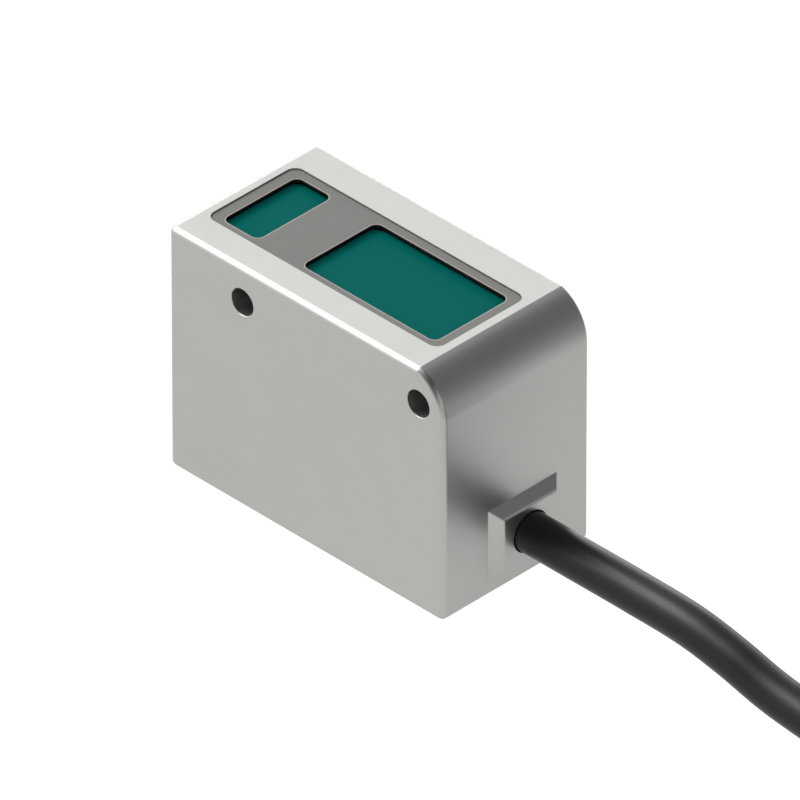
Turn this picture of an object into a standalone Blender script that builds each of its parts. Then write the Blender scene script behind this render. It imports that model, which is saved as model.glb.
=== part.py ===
# Laser displacement sensor: a cast metal housing with two windows on top, two mounting bores
# through its thickness and a cable that leaves a sloped boss on its right end. Inside it are a
# laser with its collimator, a receiving lens, an image sensor and the electronics.
# Units are metres, +Z is up. The origin is the centre of the base face, +X points to the cable
# end, -Y is the front face, and the windows look up along +Z.

import math

import bmesh
import bpy
from mathutils import Matrix, Vector

MM = 0.001

# Housing
LENGTH = 44.0 * MM
THICKNESS = 23.4 * MM
HEIGHT = 33.2 * MM
EDGE_ROUND = 0.6 * MM
CORNER_RADIUS = 6.0 * MM
CORNER_DROP = 5.7 * MM  # from the top face to where the corner's arc meets the end face
WALL = 2.4 * MM
CEILING = 5.0 * MM  # from the top face to the roof of the cavity
CAVITY_ROUND = 0.8 * MM

# Clearances between pieces that are fitted to each other
GAP = 0.2 * MM
FREE_GAP = 0.3 * MM

# Rear cover, let into the housing's rim and sealed by a gasket
RIM = 1.0 * MM
COVER_THICKNESS = 1.6 * MM
COVER_EDGE = 0.3 * MM
GASKET_THICKNESS = 0.6 * MM
GASKET_BORE_MARGIN = 0.35 * MM

# Mounting bores, clearance for M3 screws
BORE_RADIUS = 1.75 * MM
BORE_BELOW_TOP = 4.7 * MM
BORE_1_FROM_LEFT = 11.9 * MM
BORE_2_FROM_RIGHT = 3.9 * MM
PILLAR_WALL = 1.25 * MM

# Cover screws, M2 countersunk, in posts at the base and in the thick top wall
POST_RADIUS = 2.2 * MM
POST_INSET = 4.0 * MM
POST_LENGTH = 4.2 * MM
TOP_SCREW_BELOW_TOP = 3.5 * MM
TOP_SCREW_FROM_RIGHT = 11.2 * MM
SCREW_RADIUS = 0.8 * MM
SCREW_HEAD_RADIUS = 1.7 * MM
COVER_SCREW_LENGTH = 3.9 * MM
PLAIN_SCREW_LENGTH = 3.2 * MM
SOCKET_RADIUS = 0.75 * MM
SOCKET_DEPTH = 0.6 * MM
SOCKET_FLOOR = 0.3 * MM
HEAD_RIM = 0.15 * MM

# Window bezel and the two windows under it, measured from the ends and the front face
BEZEL_LEFT = 1.65 * MM
BEZEL_RIGHT = 5.3 * MM
BEZEL_FRONT = 4.4 * MM
BEZEL_FRONT_STRIP = 1.05 * MM
BEZEL_BACK_STRIP = 1.3 * MM
BEZEL_ROUND = 1.3 * MM
BEZEL_SINK = 0.2 * MM
BEZEL_THICKNESS = 1.2 * MM
BEZEL_LIP = 0.3 * MM
WINDOW_WIDTH = 11.95 * MM
WINDOW_ROUND = 1.0 * MM
LEAST_ROUND = 0.2 * MM
WINDOW_LAP = 0.45 * MM  # how far a window plate runs on under the bezel's lip
WINDOW_THICKNESS = 1.0 * MM
WINDOW_SEAL_THICKNESS = 0.5 * MM
WINDOW_SEAL_WIDTH = 0.9 * MM
EMITTER_LEFT = 3.2 * MM
EMITTER_LENGTH = 5.7 * MM
RECEIVER_LEFT = 16.0 * MM
RECEIVER_RIGHT = 6.7 * MM
LEDGE = 0.8 * MM  # how far a light opening stands in from its window's visible edge

# Cable boss and what holds the cable in it
BOSS_HEIGHT = 1.3 * MM
BOSS_WIDTH = 11.1 * MM
BOSS_TALL = 9.7 * MM
CABLE_Y = 1.15 * MM
CABLE_Z = 7.0 * MM
CABLE_RADIUS = 2.55 * MM
CABLE_CLEARANCE = 0.25 * MM
SEAL_RADIUS = 4.2 * MM
SEAL_LENGTH = 1.6 * MM
FERRULE_WALL = 0.5 * MM
FERRULE_LENGTH = 3.0 * MM
JACKET_INSIDE = 4.6 * MM  # how far the cable's jacket runs into the cavity

# Optics, in the plane half way across the windows
LASER_TARGET = 30.0 * MM  # from the top face to the middle of the measuring range
BARREL_RADIUS = 2.7 * MM
BARREL_BORE = 1.5 * MM
BARREL_BOTTOM = 8.5 * MM
BARREL_BELOW_BENCH_TOP = 1.0 * MM
DIODE_RADIUS = 1.9 * MM
DIODE_FLANGE = 1.0 * MM
DIODE_CAP_RADIUS = 1.25 * MM
DIODE_CAP_HEIGHT = 1.8 * MM
DIODE_LEAD_RADIUS = 0.25 * MM
DIODE_LEAD_LENGTH = 2.4 * MM
DIODE_LEAD_CIRCLE = 0.8 * MM
COLLIMATOR_RADIUS = 2.0 * MM
COLLIMATOR_EDGE = 0.8 * MM
COLLIMATOR_CROWN = 0.5 * MM
COLLIMATOR_DEPTH = 4.7 * MM  # from the barrel's top to its seat
LOCK_RING_BORE = 1.3 * MM
LOCK_RING_LENGTH = 1.0 * MM
LENS_BELOW_ROOF = 5.8 * MM
LENS_RADIUS = 4.0 * MM
LENS_EDGE = 1.2 * MM
LENS_CROWN = 0.9 * MM
LENS_RING_LENGTH = 0.9 * MM
LENS_RING_BORE = 3.3 * MM
SENSOR_ABOVE_CABLE = 3.75 * MM  # from the cable's top to the middle of the image
SENSOR_FROM_RIGHT = 9.27 * MM

# Optical bench, one casting along the front wall
BENCH_PLATE = 2.0 * MM
BENCH_BOTTOM = 6.6 * MM
BENCH_BELOW_ROOF = 3.2 * MM
BENCH_SIDE_GAP = 0.6 * MM
TOWER_WALL = 0.4 * MM
LENS_BLOCK_WALL = 1.3 * MM
LENS_BLOCK_LENGTH = 5.6 * MM
SHELF_THICKNESS = 1.0 * MM
SHELF_LENGTH = 4.0 * MM
STANDOFF_RADIUS = 1.8 * MM
BENCH_SCREW_1_FROM_LEFT = 17.0 * MM
BENCH_SCREW_1_BELOW_TOP = 9.0 * MM
BENCH_SCREW_2_FROM_RIGHT = 4.8 * MM
BENCH_SCREW_2_BELOW_TOP = 7.4 * MM

# Electronics, on a main board as tall as the bench behind it
BOARD_THICKNESS = 1.0 * MM
SENSOR_BOARD = (11.0 * MM, 10.4 * MM, 0.8 * MM)
SENSOR_CHIP = (8.4 * MM, 4.2 * MM, 1.0 * MM)
BOARD_BOTTOM = 3.0 * MM
BOARD_SIDE_GAP = 0.4 * MM
BOARD_SCREW_FROM_LEFT = 13.0 * MM
BOARD_SCREW_FROM_RIGHT = 4.8 * MM
BOARD_SCREW_FROM_BOTTOM = 7.0 * MM
BOARD_SCREW_FROM_TOP = 3.0 * MM
# Each chip: the board's end and edge that its middle is measured from, and its own size
CHIPS = {
    "processor_chip": ("left", 16.2 * MM, "top", 8.0 * MM, (7.0 * MM, 7.0 * MM, 0.9 * MM)),
    "laser_driver_chip": ("left", 4.7 * MM, "bottom", 9.5 * MM, (5.0 * MM, 4.0 * MM, 1.5 * MM)),
    "signal_converter_chip": ("right", 8.5 * MM, "top", 6.0 * MM, (5.0 * MM, 4.4 * MM, 1.2 * MM)),
    "power_inductor": ("right", 8.7 * MM, "bottom", 2.5 * MM, (4.0 * MM, 4.0 * MM, 1.8 * MM)),
    "supply_capacitor_1": ("left", 18.2 * MM, "bottom", 2.0 * MM, (3.5 * MM, 2.8 * MM, 1.9 * MM)),
    "supply_capacitor_2": ("left", 14.0 * MM, "bottom", 2.0 * MM, (3.5 * MM, 2.8 * MM, 1.9 * MM)),
}
LEAD_SOCKET = (3.2 * MM, 3.0 * MM, 6.4 * MM)
LEAD_SOCKET_FROM_RIGHT = 17.5 * MM
LEAD_SOCKET_Z = 6.0 * MM
FLEX_WIDTH = 5.0 * MM
FLEX_THICKNESS = 0.3 * MM
FLEX_RISE = 4.0 * MM
FLEX_LAP = 2.6 * MM

# Conductors
LEAD_COLOURS = ["brown", "white", "blue", "black", "grey"]
LEAD_RADIUS = 0.45 * MM
LEAD_CIRCLE = 1.45 * MM
LEAD_PITCH = 1.2 * MM
LEAD_STRAIGHT_SHARE = 0.2  # of an inner lead, next to the jacket
LEAD_ENTRY_SHARE = 0.3  # of an inner lead, next to the socket
FLYING_LEAD_LENGTH = 40.0 * MM
FLYING_LEAD_PITCH = 1.1 * MM
FLYING_LEAD_FALL = 0.45  # share of its length over which a lead comes down
FLYING_LEAD_STATIONS = 9

# The hank that puts away the rest of the 2 m cable, on the surface the sensor stands on: two
# columns of turns on full layers, and a top layer with the outer column alone
HANK_X = 105.0 * MM
HANK_STRAIGHT = 49.0 * MM
HANK_INNER_TURN = 15.5 * MM
HANK_PITCH = 5.3 * MM
HANK_FULL_LAYERS = 4
HANK_STEPS = 12
TIE_THICKNESS = 0.5 * MM
TIE_WIDTH = 6.0 * MM
TAIL_START = 0.88  # in turns of the hank, from the left end of its front run
TAIL_END = 1.53
TAIL_STEPS = 28

# Route of the cable from its end inside the housing, by hand, before the hank takes it up
CABLE_DROP = [
    (30.0 * MM, 7.0 * MM),
    (40.0 * MM, 7.0 * MM),
    (48.5 * MM, 6.8 * MM),
    (55.0 * MM, 5.8 * MM),
    (61.0 * MM, 4.4 * MM),
    (65.5 * MM, 3.75 * MM),
]

# Roundness
FINE = 24
MEDIUM = 16
SMALL = 10
ARC_STEPS = 8

# Places worked out from the sizes above
LEFT = -LENGTH / 2
RIGHT = LENGTH / 2
FRONT = -THICKNESS / 2
BACK = THICKNESS / 2
CAVITY_FRONT = FRONT + WALL
CAVITY_ROOF = HEIGHT - CEILING
COVER_INNER = BACK - COVER_THICKNESS
GASKET_BACK = COVER_INNER - GAP
SEAT = GASKET_BACK - GASKET_THICKNESS - GAP
BORE_Z = HEIGHT - BORE_BELOW_TOP
BORES = [(LEFT + BORE_1_FROM_LEFT, BORE_Z), (RIGHT - BORE_2_FROM_RIGHT, BORE_Z)]
POSTS = [(side * (RIGHT - POST_INSET), POST_INSET) for side in (-1, 1)]
TOP_SCREW_Z = HEIGHT - TOP_SCREW_BELOW_TOP
TOP_SCREWS = [(LEFT + POST_INSET, TOP_SCREW_Z), (RIGHT - TOP_SCREW_FROM_RIGHT, TOP_SCREW_Z)]
COVER_SCREWS = POSTS + TOP_SCREWS
BEZEL_LENGTH = LENGTH - BEZEL_LEFT - BEZEL_RIGHT
BEZEL_WIDTH = BEZEL_FRONT_STRIP + WINDOW_WIDTH + BEZEL_BACK_STRIP
BEZEL_TOP = HEIGHT - BEZEL_SINK
BEZEL_FLOOR = BEZEL_TOP - BEZEL_THICKNESS - GAP
WINDOW_FRONT = BEZEL_FRONT + BEZEL_FRONT_STRIP
RECEIVER_LENGTH = LENGTH - RECEIVER_LEFT - RECEIVER_RIGHT
WINDOW_TOP = BEZEL_TOP - BEZEL_LIP - GAP
SEAL_TOP = WINDOW_TOP - WINDOW_THICKNESS - GAP
POCKET_FLOOR = SEAL_TOP - WINDOW_SEAL_THICKNESS - GAP
OPTICS_Y = FRONT + WINDOW_FRONT + WINDOW_WIDTH / 2
LASER_X = LEFT + EMITTER_LEFT + EMITTER_LENGTH / 2
BENCH_FRONT = CAVITY_FRONT + GAP
BENCH_FACE = BENCH_FRONT + BENCH_PLATE
BENCH_TOP = CAVITY_ROOF - BENCH_BELOW_ROOF
LENS_BLOCK_HALF = LENS_RADIUS + GAP + LENS_BLOCK_WALL
BARREL_TOP = BENCH_TOP - BARREL_BELOW_BENCH_TOP
COLLIMATOR_SEAT = BARREL_TOP - COLLIMATOR_DEPTH
TARGET_Z = HEIGHT + LASER_TARGET
SENSOR_X = RIGHT - SENSOR_FROM_RIGHT
SENSOR_Z = CABLE_Z + CABLE_RADIUS + SENSOR_ABOVE_CABLE
LENS_Z = CAVITY_ROOF - LENS_BELOW_ROOF
LENS_X = SENSOR_X + (LASER_X - SENSOR_X) * (LENS_Z - SENSOR_Z) / (TARGET_Z - SENSOR_Z)
BENCH_SCREWS = [(LEFT + BENCH_SCREW_1_FROM_LEFT, BENCH_TOP - BENCH_SCREW_1_BELOW_TOP),
                (RIGHT - BENCH_SCREW_2_FROM_RIGHT, BENCH_TOP - BENCH_SCREW_2_BELOW_TOP)]
BOARD_LEFT = LEFT + WALL + BOARD_SIDE_GAP
BOARD_RIGHT = RIGHT - WALL - BOARD_SIDE_GAP
BOARD_TOP = BENCH_TOP
BOARD_FRONT = OPTICS_Y + LENS_BLOCK_HALF + FLEX_THICKNESS + 2 * GAP
BOARD_BACK = BOARD_FRONT + BOARD_THICKNESS
BOARD_SCREWS = [(LEFT + BOARD_SCREW_FROM_LEFT, BOARD_BOTTOM + BOARD_SCREW_FROM_BOTTOM),
                (LEFT + BOARD_SCREW_FROM_LEFT, BOARD_TOP - BOARD_SCREW_FROM_TOP),
                (RIGHT - BOARD_SCREW_FROM_RIGHT, BOARD_TOP - BOARD_SCREW_FROM_TOP)]
LEAD_SOCKET_X = RIGHT - LEAD_SOCKET_FROM_RIGHT
CABLE_BORE = CABLE_RADIUS + CABLE_CLEARANCE
SEAL_POCKET_END = RIGHT - WALL + SEAL_LENGTH + GAP
HANK_OUTER_TURN = HANK_INNER_TURN + HANK_PITCH
HANK_Y = CABLE_Y + HANK_OUTER_TURN
HANK_LEFT = HANK_X - HANK_STRAIGHT / 2
HANK_RIGHT = HANK_X + HANK_STRAIGHT / 2
HANK_FOLD = math.pi * (HANK_INNER_TURN + HANK_OUTER_TURN) / 2
HANK_LAP = 2 * (HANK_STRAIGHT + HANK_FOLD)
HANK_BOTTOM = TIE_THICKNESS + GAP


def clear_scene():
    for thing in list(bpy.data.objects):
        bpy.data.objects.remove(thing, do_unlink=True)


def material(name, colour, metallic, roughness, alpha=1.0):
    made = bpy.data.materials.new(name)
    made.use_nodes = True
    shader = made.node_tree.nodes["Principled BSDF"]
    shader.inputs["Base Color"].default_value = (*colour, 1.0)
    shader.inputs["Metallic"].default_value = metallic
    shader.inputs["Roughness"].default_value = roughness
    shader.inputs["Alpha"].default_value = alpha
    return made


def place_on(axis, u, v, w):
    # A flat point (u, v) at height w along the axis.
    return {"X": (w, u, v), "Y": (u, w, v), "Z": (u, v, w)}[axis]


def prism(points, axis, start, end):
    shape = bmesh.new()
    corners = [shape.verts.new(place_on(axis, u, v, start)) for u, v in points]
    shape.faces.new(corners)
    grown = bmesh.ops.extrude_face_region(shape, geom=shape.faces[:], use_keep_orig=True)
    moved = [item for item in grown["geom"] if isinstance(item, bmesh.types.BMVert)]
    bmesh.ops.translate(shape, verts=moved, vec=Vector(place_on(axis, 0, 0, end - start)))
    bmesh.ops.recalc_face_normals(shape, faces=shape.faces)
    return shape


def block(low, high):
    outline = [(low[0], low[1]), (high[0], low[1]), (high[0], high[1]), (low[0], high[1])]
    return prism(outline, "Z", low[2], high[2])


def rounded_rectangle(left, right, low, high, radius, steps=4):
    points = []
    corners = [(right, high, 0), (left, high, 1), (left, low, 2), (right, low, 3)]
    for u, v, quarter in corners:
        centre_u = u - radius if quarter in (0, 3) else u + radius
        centre_v = v - radius if quarter in (0, 1) else v + radius
        for step in range(steps + 1):
            angle = (quarter + step / steps) * math.pi / 2
            points.append((centre_u + radius * math.cos(angle), centre_v + radius * math.sin(angle)))
    return points


def circle(u, v, radius, segments):
    turn = 2 * math.pi / segments
    return [(u + radius * math.cos(i * turn), v + radius * math.sin(i * turn)) for i in range(segments)]


def rod(axis, u, v, radius, start, end, segments=MEDIUM):
    return prism(circle(u, v, radius, segments), axis, start, end)


def lathe(profile, segments, closed=False):
    # The profile is (radius, height) points; a closed one makes a ring.
    shape = bmesh.new()
    points = [shape.verts.new((r, 0, z)) for r, z in profile]
    pairs = list(zip(points, points[1:])) + ([(points[-1], points[0])] if closed else [])
    edges = [shape.edges.new(pair) for pair in pairs]
    bmesh.ops.spin(shape, geom=points + edges, cent=(0, 0, 0), axis=(0, 0, 1),
                   angle=2 * math.pi, steps=segments, use_merge=True)
    bmesh.ops.remove_doubles(shape, verts=shape.verts, dist=0.001 * MM)
    bmesh.ops.recalc_face_normals(shape, faces=shape.faces)
    return shape


def moved(shape, matrix):
    bmesh.ops.transform(shape, matrix=matrix, verts=shape.verts)
    return shape


def merged(*shapes):
    # Several closed shapes in one mesh, as one cutter with separate parts.
    whole = bmesh.new()
    for shape in shapes:
        part = bpy.data.meshes.new("part")
        shape.to_mesh(part)
        shape.free()
        whole.from_mesh(part)
        bpy.data.meshes.remove(part)
    return whole


def rounded(shape, width, segments, least_angle=math.radians(40)):
    edges = [edge for edge in shape.edges if edge.calc_face_angle(0) > least_angle]
    bmesh.ops.bevel(shape, geom=edges, offset=width, segments=segments, profile=0.5,
                    affect="EDGES", material=-1, clamp_overlap=False)
    return shape


def new_object(name, shape):
    mesh = bpy.data.meshes.new(name)
    shape.to_mesh(mesh)
    shape.free()
    made = bpy.data.objects.new(name, mesh)
    bpy.context.scene.collection.objects.link(made)
    return made


def piece(name, shape, finish, smooth_angle=35):
    made = new_object(name, shape)
    made.data.materials.append(finish)
    made.data.shade_smooth()
    made.data.set_sharp_from_angle(angle=math.radians(smooth_angle))
    return made


def guide(name, shape):
    made = new_object(name, shape)
    made.hide_render = True
    made.display_type = "WIRE"
    return made


def combine(target, helper, operation):
    step = target.modifiers.new(operation.lower(), "BOOLEAN")
    step.operation = operation
    step.solver = "EXACT"
    step.object = helper


def next_guide(target, shape):
    return guide(f"{target.name}_guide_{len(target.modifiers) + 1}", shape)


def cut(target, shape):
    combine(target, next_guide(target, shape), "DIFFERENCE")


def join(target, shape):
    combine(target, next_guide(target, shape), "UNION")


def side_outline(inset=0.0):
    # The housing's outline seen from the front, with the large rounding at the cable end.
    centre_x = RIGHT - CORNER_RADIUS
    centre_z = HEIGHT - CORNER_DROP
    radius = CORNER_RADIUS - inset
    last = math.asin((CORNER_DROP - inset) / radius)
    outline = [(LEFT + inset, HEIGHT - inset), (LEFT + inset, inset), (RIGHT - inset, inset)]
    for step in range(ARC_STEPS + 1):
        angle = last * step / ARC_STEPS
        outline.append((centre_x + radius * math.cos(angle), centre_z + radius * math.sin(angle)))
    return outline


def window_outline(left, length, grow):
    # A window's visible outline in the top face, grown or shrunk on all sides.
    start = LEFT + left
    near = FRONT + WINDOW_FRONT
    return rounded_rectangle(start - grow, start + length + grow, near - grow,
                             near + WINDOW_WIDTH + grow, max(WINDOW_ROUND + grow, LEAST_ROUND))


def bezel_outline(grow):
    near = FRONT + BEZEL_FRONT
    return rounded_rectangle(LEFT + BEZEL_LEFT - grow, LEFT + BEZEL_LEFT + BEZEL_LENGTH + grow,
                             near - grow, near + BEZEL_WIDTH + grow, BEZEL_ROUND + grow)


WINDOWS = {"emitter": (EMITTER_LEFT, EMITTER_LENGTH), "receiver": (RECEIVER_LEFT, RECEIVER_LENGTH)}


def boss_shape():
    # A low pyramid with 45 degree flanks; its foot runs on into the wall.
    half_width = BOSS_WIDTH / 2
    half_tall = BOSS_TALL / 2
    foot = [(CABLE_Y - half_width, CABLE_Z - half_tall), (CABLE_Y + half_width, CABLE_Z - half_tall),
            (CABLE_Y + half_width, CABLE_Z + half_tall), (CABLE_Y - half_width, CABLE_Z + half_tall)]
    shape = prism(foot, "X", RIGHT - WALL / 2, RIGHT)
    face = max(shape.faces, key=lambda f: f.calc_center_median().x)
    grown = bmesh.ops.extrude_face_region(shape, geom=[face])
    tips = [item for item in grown["geom"] if isinstance(item, bmesh.types.BMVert)]
    for tip in tips:
        tip.co.x += BOSS_HEIGHT
        tip.co.y += BOSS_HEIGHT if tip.co.y < CABLE_Y else -BOSS_HEIGHT
        tip.co.z += BOSS_HEIGHT if tip.co.z < CABLE_Z else -BOSS_HEIGHT
    if face.is_valid:
        bmesh.ops.delete(shape, geom=[face], context="FACES_ONLY")
    bmesh.ops.recalc_face_normals(shape, faces=shape.faces)
    return shape


def make_housing(finish):
    body = piece("housing", rounded(prism(side_outline(), "Y", FRONT, BACK), EDGE_ROUND, 2), finish, 30)
    join(body, boss_shape())
    cavity = block((LEFT + WALL, CAVITY_FRONT, WALL), (RIGHT - WALL, BACK + WALL, CAVITY_ROOF))
    cut(body, rounded(cavity, CAVITY_ROUND, 2))
    start = CAVITY_FRONT - WALL / 2
    pillars = [rod("Y", x, z, BORE_RADIUS + PILLAR_WALL, start, COVER_INNER) for x, z in BORES]
    posts = [rod("Y", x, z, POST_RADIUS, SEAT - POST_LENGTH, COVER_INNER) for x, z in POSTS]
    join(body, merged(*pillars, *posts))
    cut(body, prism(side_outline(RIM), "Y", SEAT, BACK + WALL))
    above = HEIGHT + WALL
    cut(body, prism(bezel_outline(GAP), "Z", BEZEL_FLOOR, above))
    plates = [window_outline(*window, WINDOW_LAP + GAP) for window in WINDOWS.values()]
    cut(body, merged(*[prism(plate, "Z", POCKET_FLOOR, above) for plate in plates]))
    floor = CAVITY_ROOF - CEILING / 2
    receiver = prism(window_outline(*WINDOWS["receiver"], -LEDGE), "Z", floor, above)
    emitter = rod("Z", LASER_X, OPTICS_Y, EMITTER_LENGTH / 2 - LEDGE, floor, above)
    cut(body, merged(receiver, emitter))
    bores = [rod("Y", x, z, BORE_RADIUS, FRONT - WALL, BACK + WALL, FINE) for x, z in BORES]
    taps = [rod("Y", x, z, SCREW_RADIUS + GAP, BACK - COVER_SCREW_LENGTH - GAP, BACK + WALL, SMALL)
            for x, z in COVER_SCREWS]
    start = CAVITY_FRONT - PLAIN_SCREW_LENGTH + BENCH_PLATE - GAP
    bench_taps = [rod("Y", x, z, SCREW_RADIUS + GAP, start, CAVITY_FRONT + WALL / 2, SMALL)
                  for x, z in BENCH_SCREWS]
    inside = RIGHT - 2 * WALL
    cable_hole = rod("X", CABLE_Y, CABLE_Z, CABLE_BORE, inside, RIGHT + 2 * BOSS_HEIGHT, FINE)
    cut(body, merged(*bores, *taps, *bench_taps, cable_hole))
    cut(body, rod("X", CABLE_Y, CABLE_Z, SEAL_RADIUS + GAP, inside, SEAL_POCKET_END, FINE))


def along_y(x, y, z):
    # Turns a shape made along +Z so that its head end points to +Y, and puts it in place.
    return Matrix.Translation((x, y, z)) @ Matrix.Rotation(-math.pi / 2, 4, "X")


def screw(name, x, z, head_top, length, countersunk, finish):
    # Made along +Z with the top of its head at zero, then laid along +Y.
    head = SCREW_HEAD_RADIUS
    sunk = head - SCREW_RADIUS + HEAD_RIM
    under = -SOCKET_DEPTH - SOCKET_FLOOR
    if countersunk:
        top = [(0, 0), (head, 0), (head, -HEAD_RIM), (SCREW_RADIUS, -sunk)]
    else:
        top = [(0, 0), (head - HEAD_RIM, 0), (head, -HEAD_RIM), (head, under), (SCREW_RADIUS, under)]
    profile = top + [(SCREW_RADIUS, -length), (0, -length)]
    made = piece(name, moved(lathe(profile, MEDIUM), along_y(x, head_top, z)), finish)
    socket = rod("Z", 0, 0, SOCKET_RADIUS, -SOCKET_DEPTH, SOCKET_DEPTH, 6)
    cut(made, moved(socket, along_y(x, head_top, z)))


def make_cover(metal, rubber, screw_metal):
    outline = side_outline(RIM + GAP)
    plate = prism(outline, "Y", COVER_INNER, BACK)
    outer = [edge for edge in plate.edges if all(v.co.y > BACK - GAP for v in edge.verts)]
    bmesh.ops.bevel(plate, geom=outer, offset=COVER_EDGE, segments=2, profile=0.5,
                    affect="EDGES", material=-1, clamp_overlap=False)
    cover = piece("rear_cover", plate, metal)
    bores = [rod("Y", x, z, BORE_RADIUS, COVER_INNER - WALL, BACK + WALL, FINE) for x, z in BORES]
    head = SCREW_HEAD_RADIUS + GAP
    shank = SCREW_RADIUS + GAP
    narrow = -GAP - head + shank
    sink = [(0, WALL), (head, WALL), (head, -GAP), (shank, narrow), (shank, -2 * WALL), (0, -2 * WALL)]
    sinks = [moved(lathe(sink, MEDIUM), along_y(x, BACK, z)) for x, z in COVER_SCREWS]
    cut(cover, merged(*bores, *sinks))
    for number, (x, z) in enumerate(COVER_SCREWS, 1):
        screw(f"cover_screw_{number}", x, z, BACK - GAP / 2, COVER_SCREW_LENGTH, True, screw_metal)

    start = SEAT + GAP
    seal = piece("cover_gasket", prism(side_outline(RIM + 2 * GAP), "Y", start, GASKET_BACK), rubber)
    inside = WALL + GAP
    hole = rounded_rectangle(LEFT + inside, RIGHT - inside, inside, CAVITY_ROOF - GAP, CAVITY_ROUND)
    opening = guide("cover_gasket_opening", prism(hole, "Y", start - WALL, BACK))
    rings = [rod("Y", x, z, BORE_RADIUS + PILLAR_WALL, start - 2 * WALL, BACK + WALL) for x, z in BORES]
    pads = [rod("Y", x, z, POST_RADIUS, start - 2 * WALL, BACK + WALL) for x, z in POSTS]
    cut(opening, merged(*rings, *pads))
    combine(seal, opening, "DIFFERENCE")
    holes = [rod("Y", x, z, BORE_RADIUS + GASKET_BORE_MARGIN, start - WALL, BACK) for x, z in BORES]
    holes += [rod("Y", x, z, shank, start - WALL, BACK, SMALL) for x, z in COVER_SCREWS]
    cut(seal, merged(*holes))


def make_windows(bezel_finish, glass, rubber):
    frame = prism(bezel_outline(0), "Z", BEZEL_TOP - BEZEL_THICKNESS, BEZEL_TOP)
    bezel = piece("window_bezel", frame, bezel_finish)
    under = BEZEL_TOP - BEZEL_LIP
    windows = WINDOWS.values()
    pockets = [window_outline(*window, WINDOW_LAP + GAP) for window in windows]
    cut(bezel, merged(*[prism(pocket, "Z", POCKET_FLOOR, under) for pocket in pockets]))
    views = [window_outline(*window, 0) for window in windows]
    cut(bezel, merged(*[prism(view, "Z", POCKET_FLOOR, HEIGHT + WALL) for view in views]))
    for name, window in WINDOWS.items():
        plate = prism(window_outline(*window, WINDOW_LAP), "Z", WINDOW_TOP - WINDOW_THICKNESS, WINDOW_TOP)
        piece(f"{name}_window", plate, glass)
        ring = prism(window_outline(*window, WINDOW_LAP), "Z", SEAL_TOP - WINDOW_SEAL_THICKNESS, SEAL_TOP)
        seal = piece(f"{name}_window_seal", ring, rubber)
        cut(seal, prism(window_outline(*window, WINDOW_LAP - WINDOW_SEAL_WIDTH), "Z", CAVITY_ROOF, HEIGHT))


def lens_frame():
    # Receiving lens: its own +Z points through its centre at the middle of the laser's range.
    centre = Vector((LENS_X, OPTICS_Y, LENS_Z))
    aim = (Vector((LASER_X, OPTICS_Y, TARGET_Z)) - centre).normalized()
    lean = math.atan2(aim.x, aim.z)
    return centre, aim, Matrix.Translation(centre) @ Matrix.Rotation(lean, 4, "Y")


def sensor_frame():
    # The image plane, the lens plane and the laser beam meet in one line, so the whole
    # measuring range is sharp on the tilted image sensor.
    _, aim, _ = lens_frame()
    middle = Vector((SENSOR_X, OPTICS_Y, SENSOR_Z))
    lens_slope = -aim.x / aim.z
    meeting_z = LENS_Z + (LASER_X - LENS_X) * lens_slope
    tilt = math.atan2(middle.z - meeting_z, middle.x - LASER_X)
    return Matrix.Translation(middle) @ Matrix.Rotation(-tilt, 4, "Y")


def lens_surface(share, edge, crown):
    # Height of a lens's upper surface above its middle, at a share of its radius.
    return edge / 2 + crown * (1 - share ** 2)


def disc_lens(radius, edge, crown, segments):
    steps = 3
    shares = [1 - i / steps for i in range(steps + 1)]
    top = [(radius * share, lens_surface(share, edge, crown)) for share in shares]
    bottom = [(r, -z) for r, z in reversed(top)]
    return lathe(bottom + top, segments)


def ring_shape(inner, outer, low, high, segments):
    return lathe([(inner, low), (outer, low), (outer, high), (inner, high)], segments, closed=True)


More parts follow.
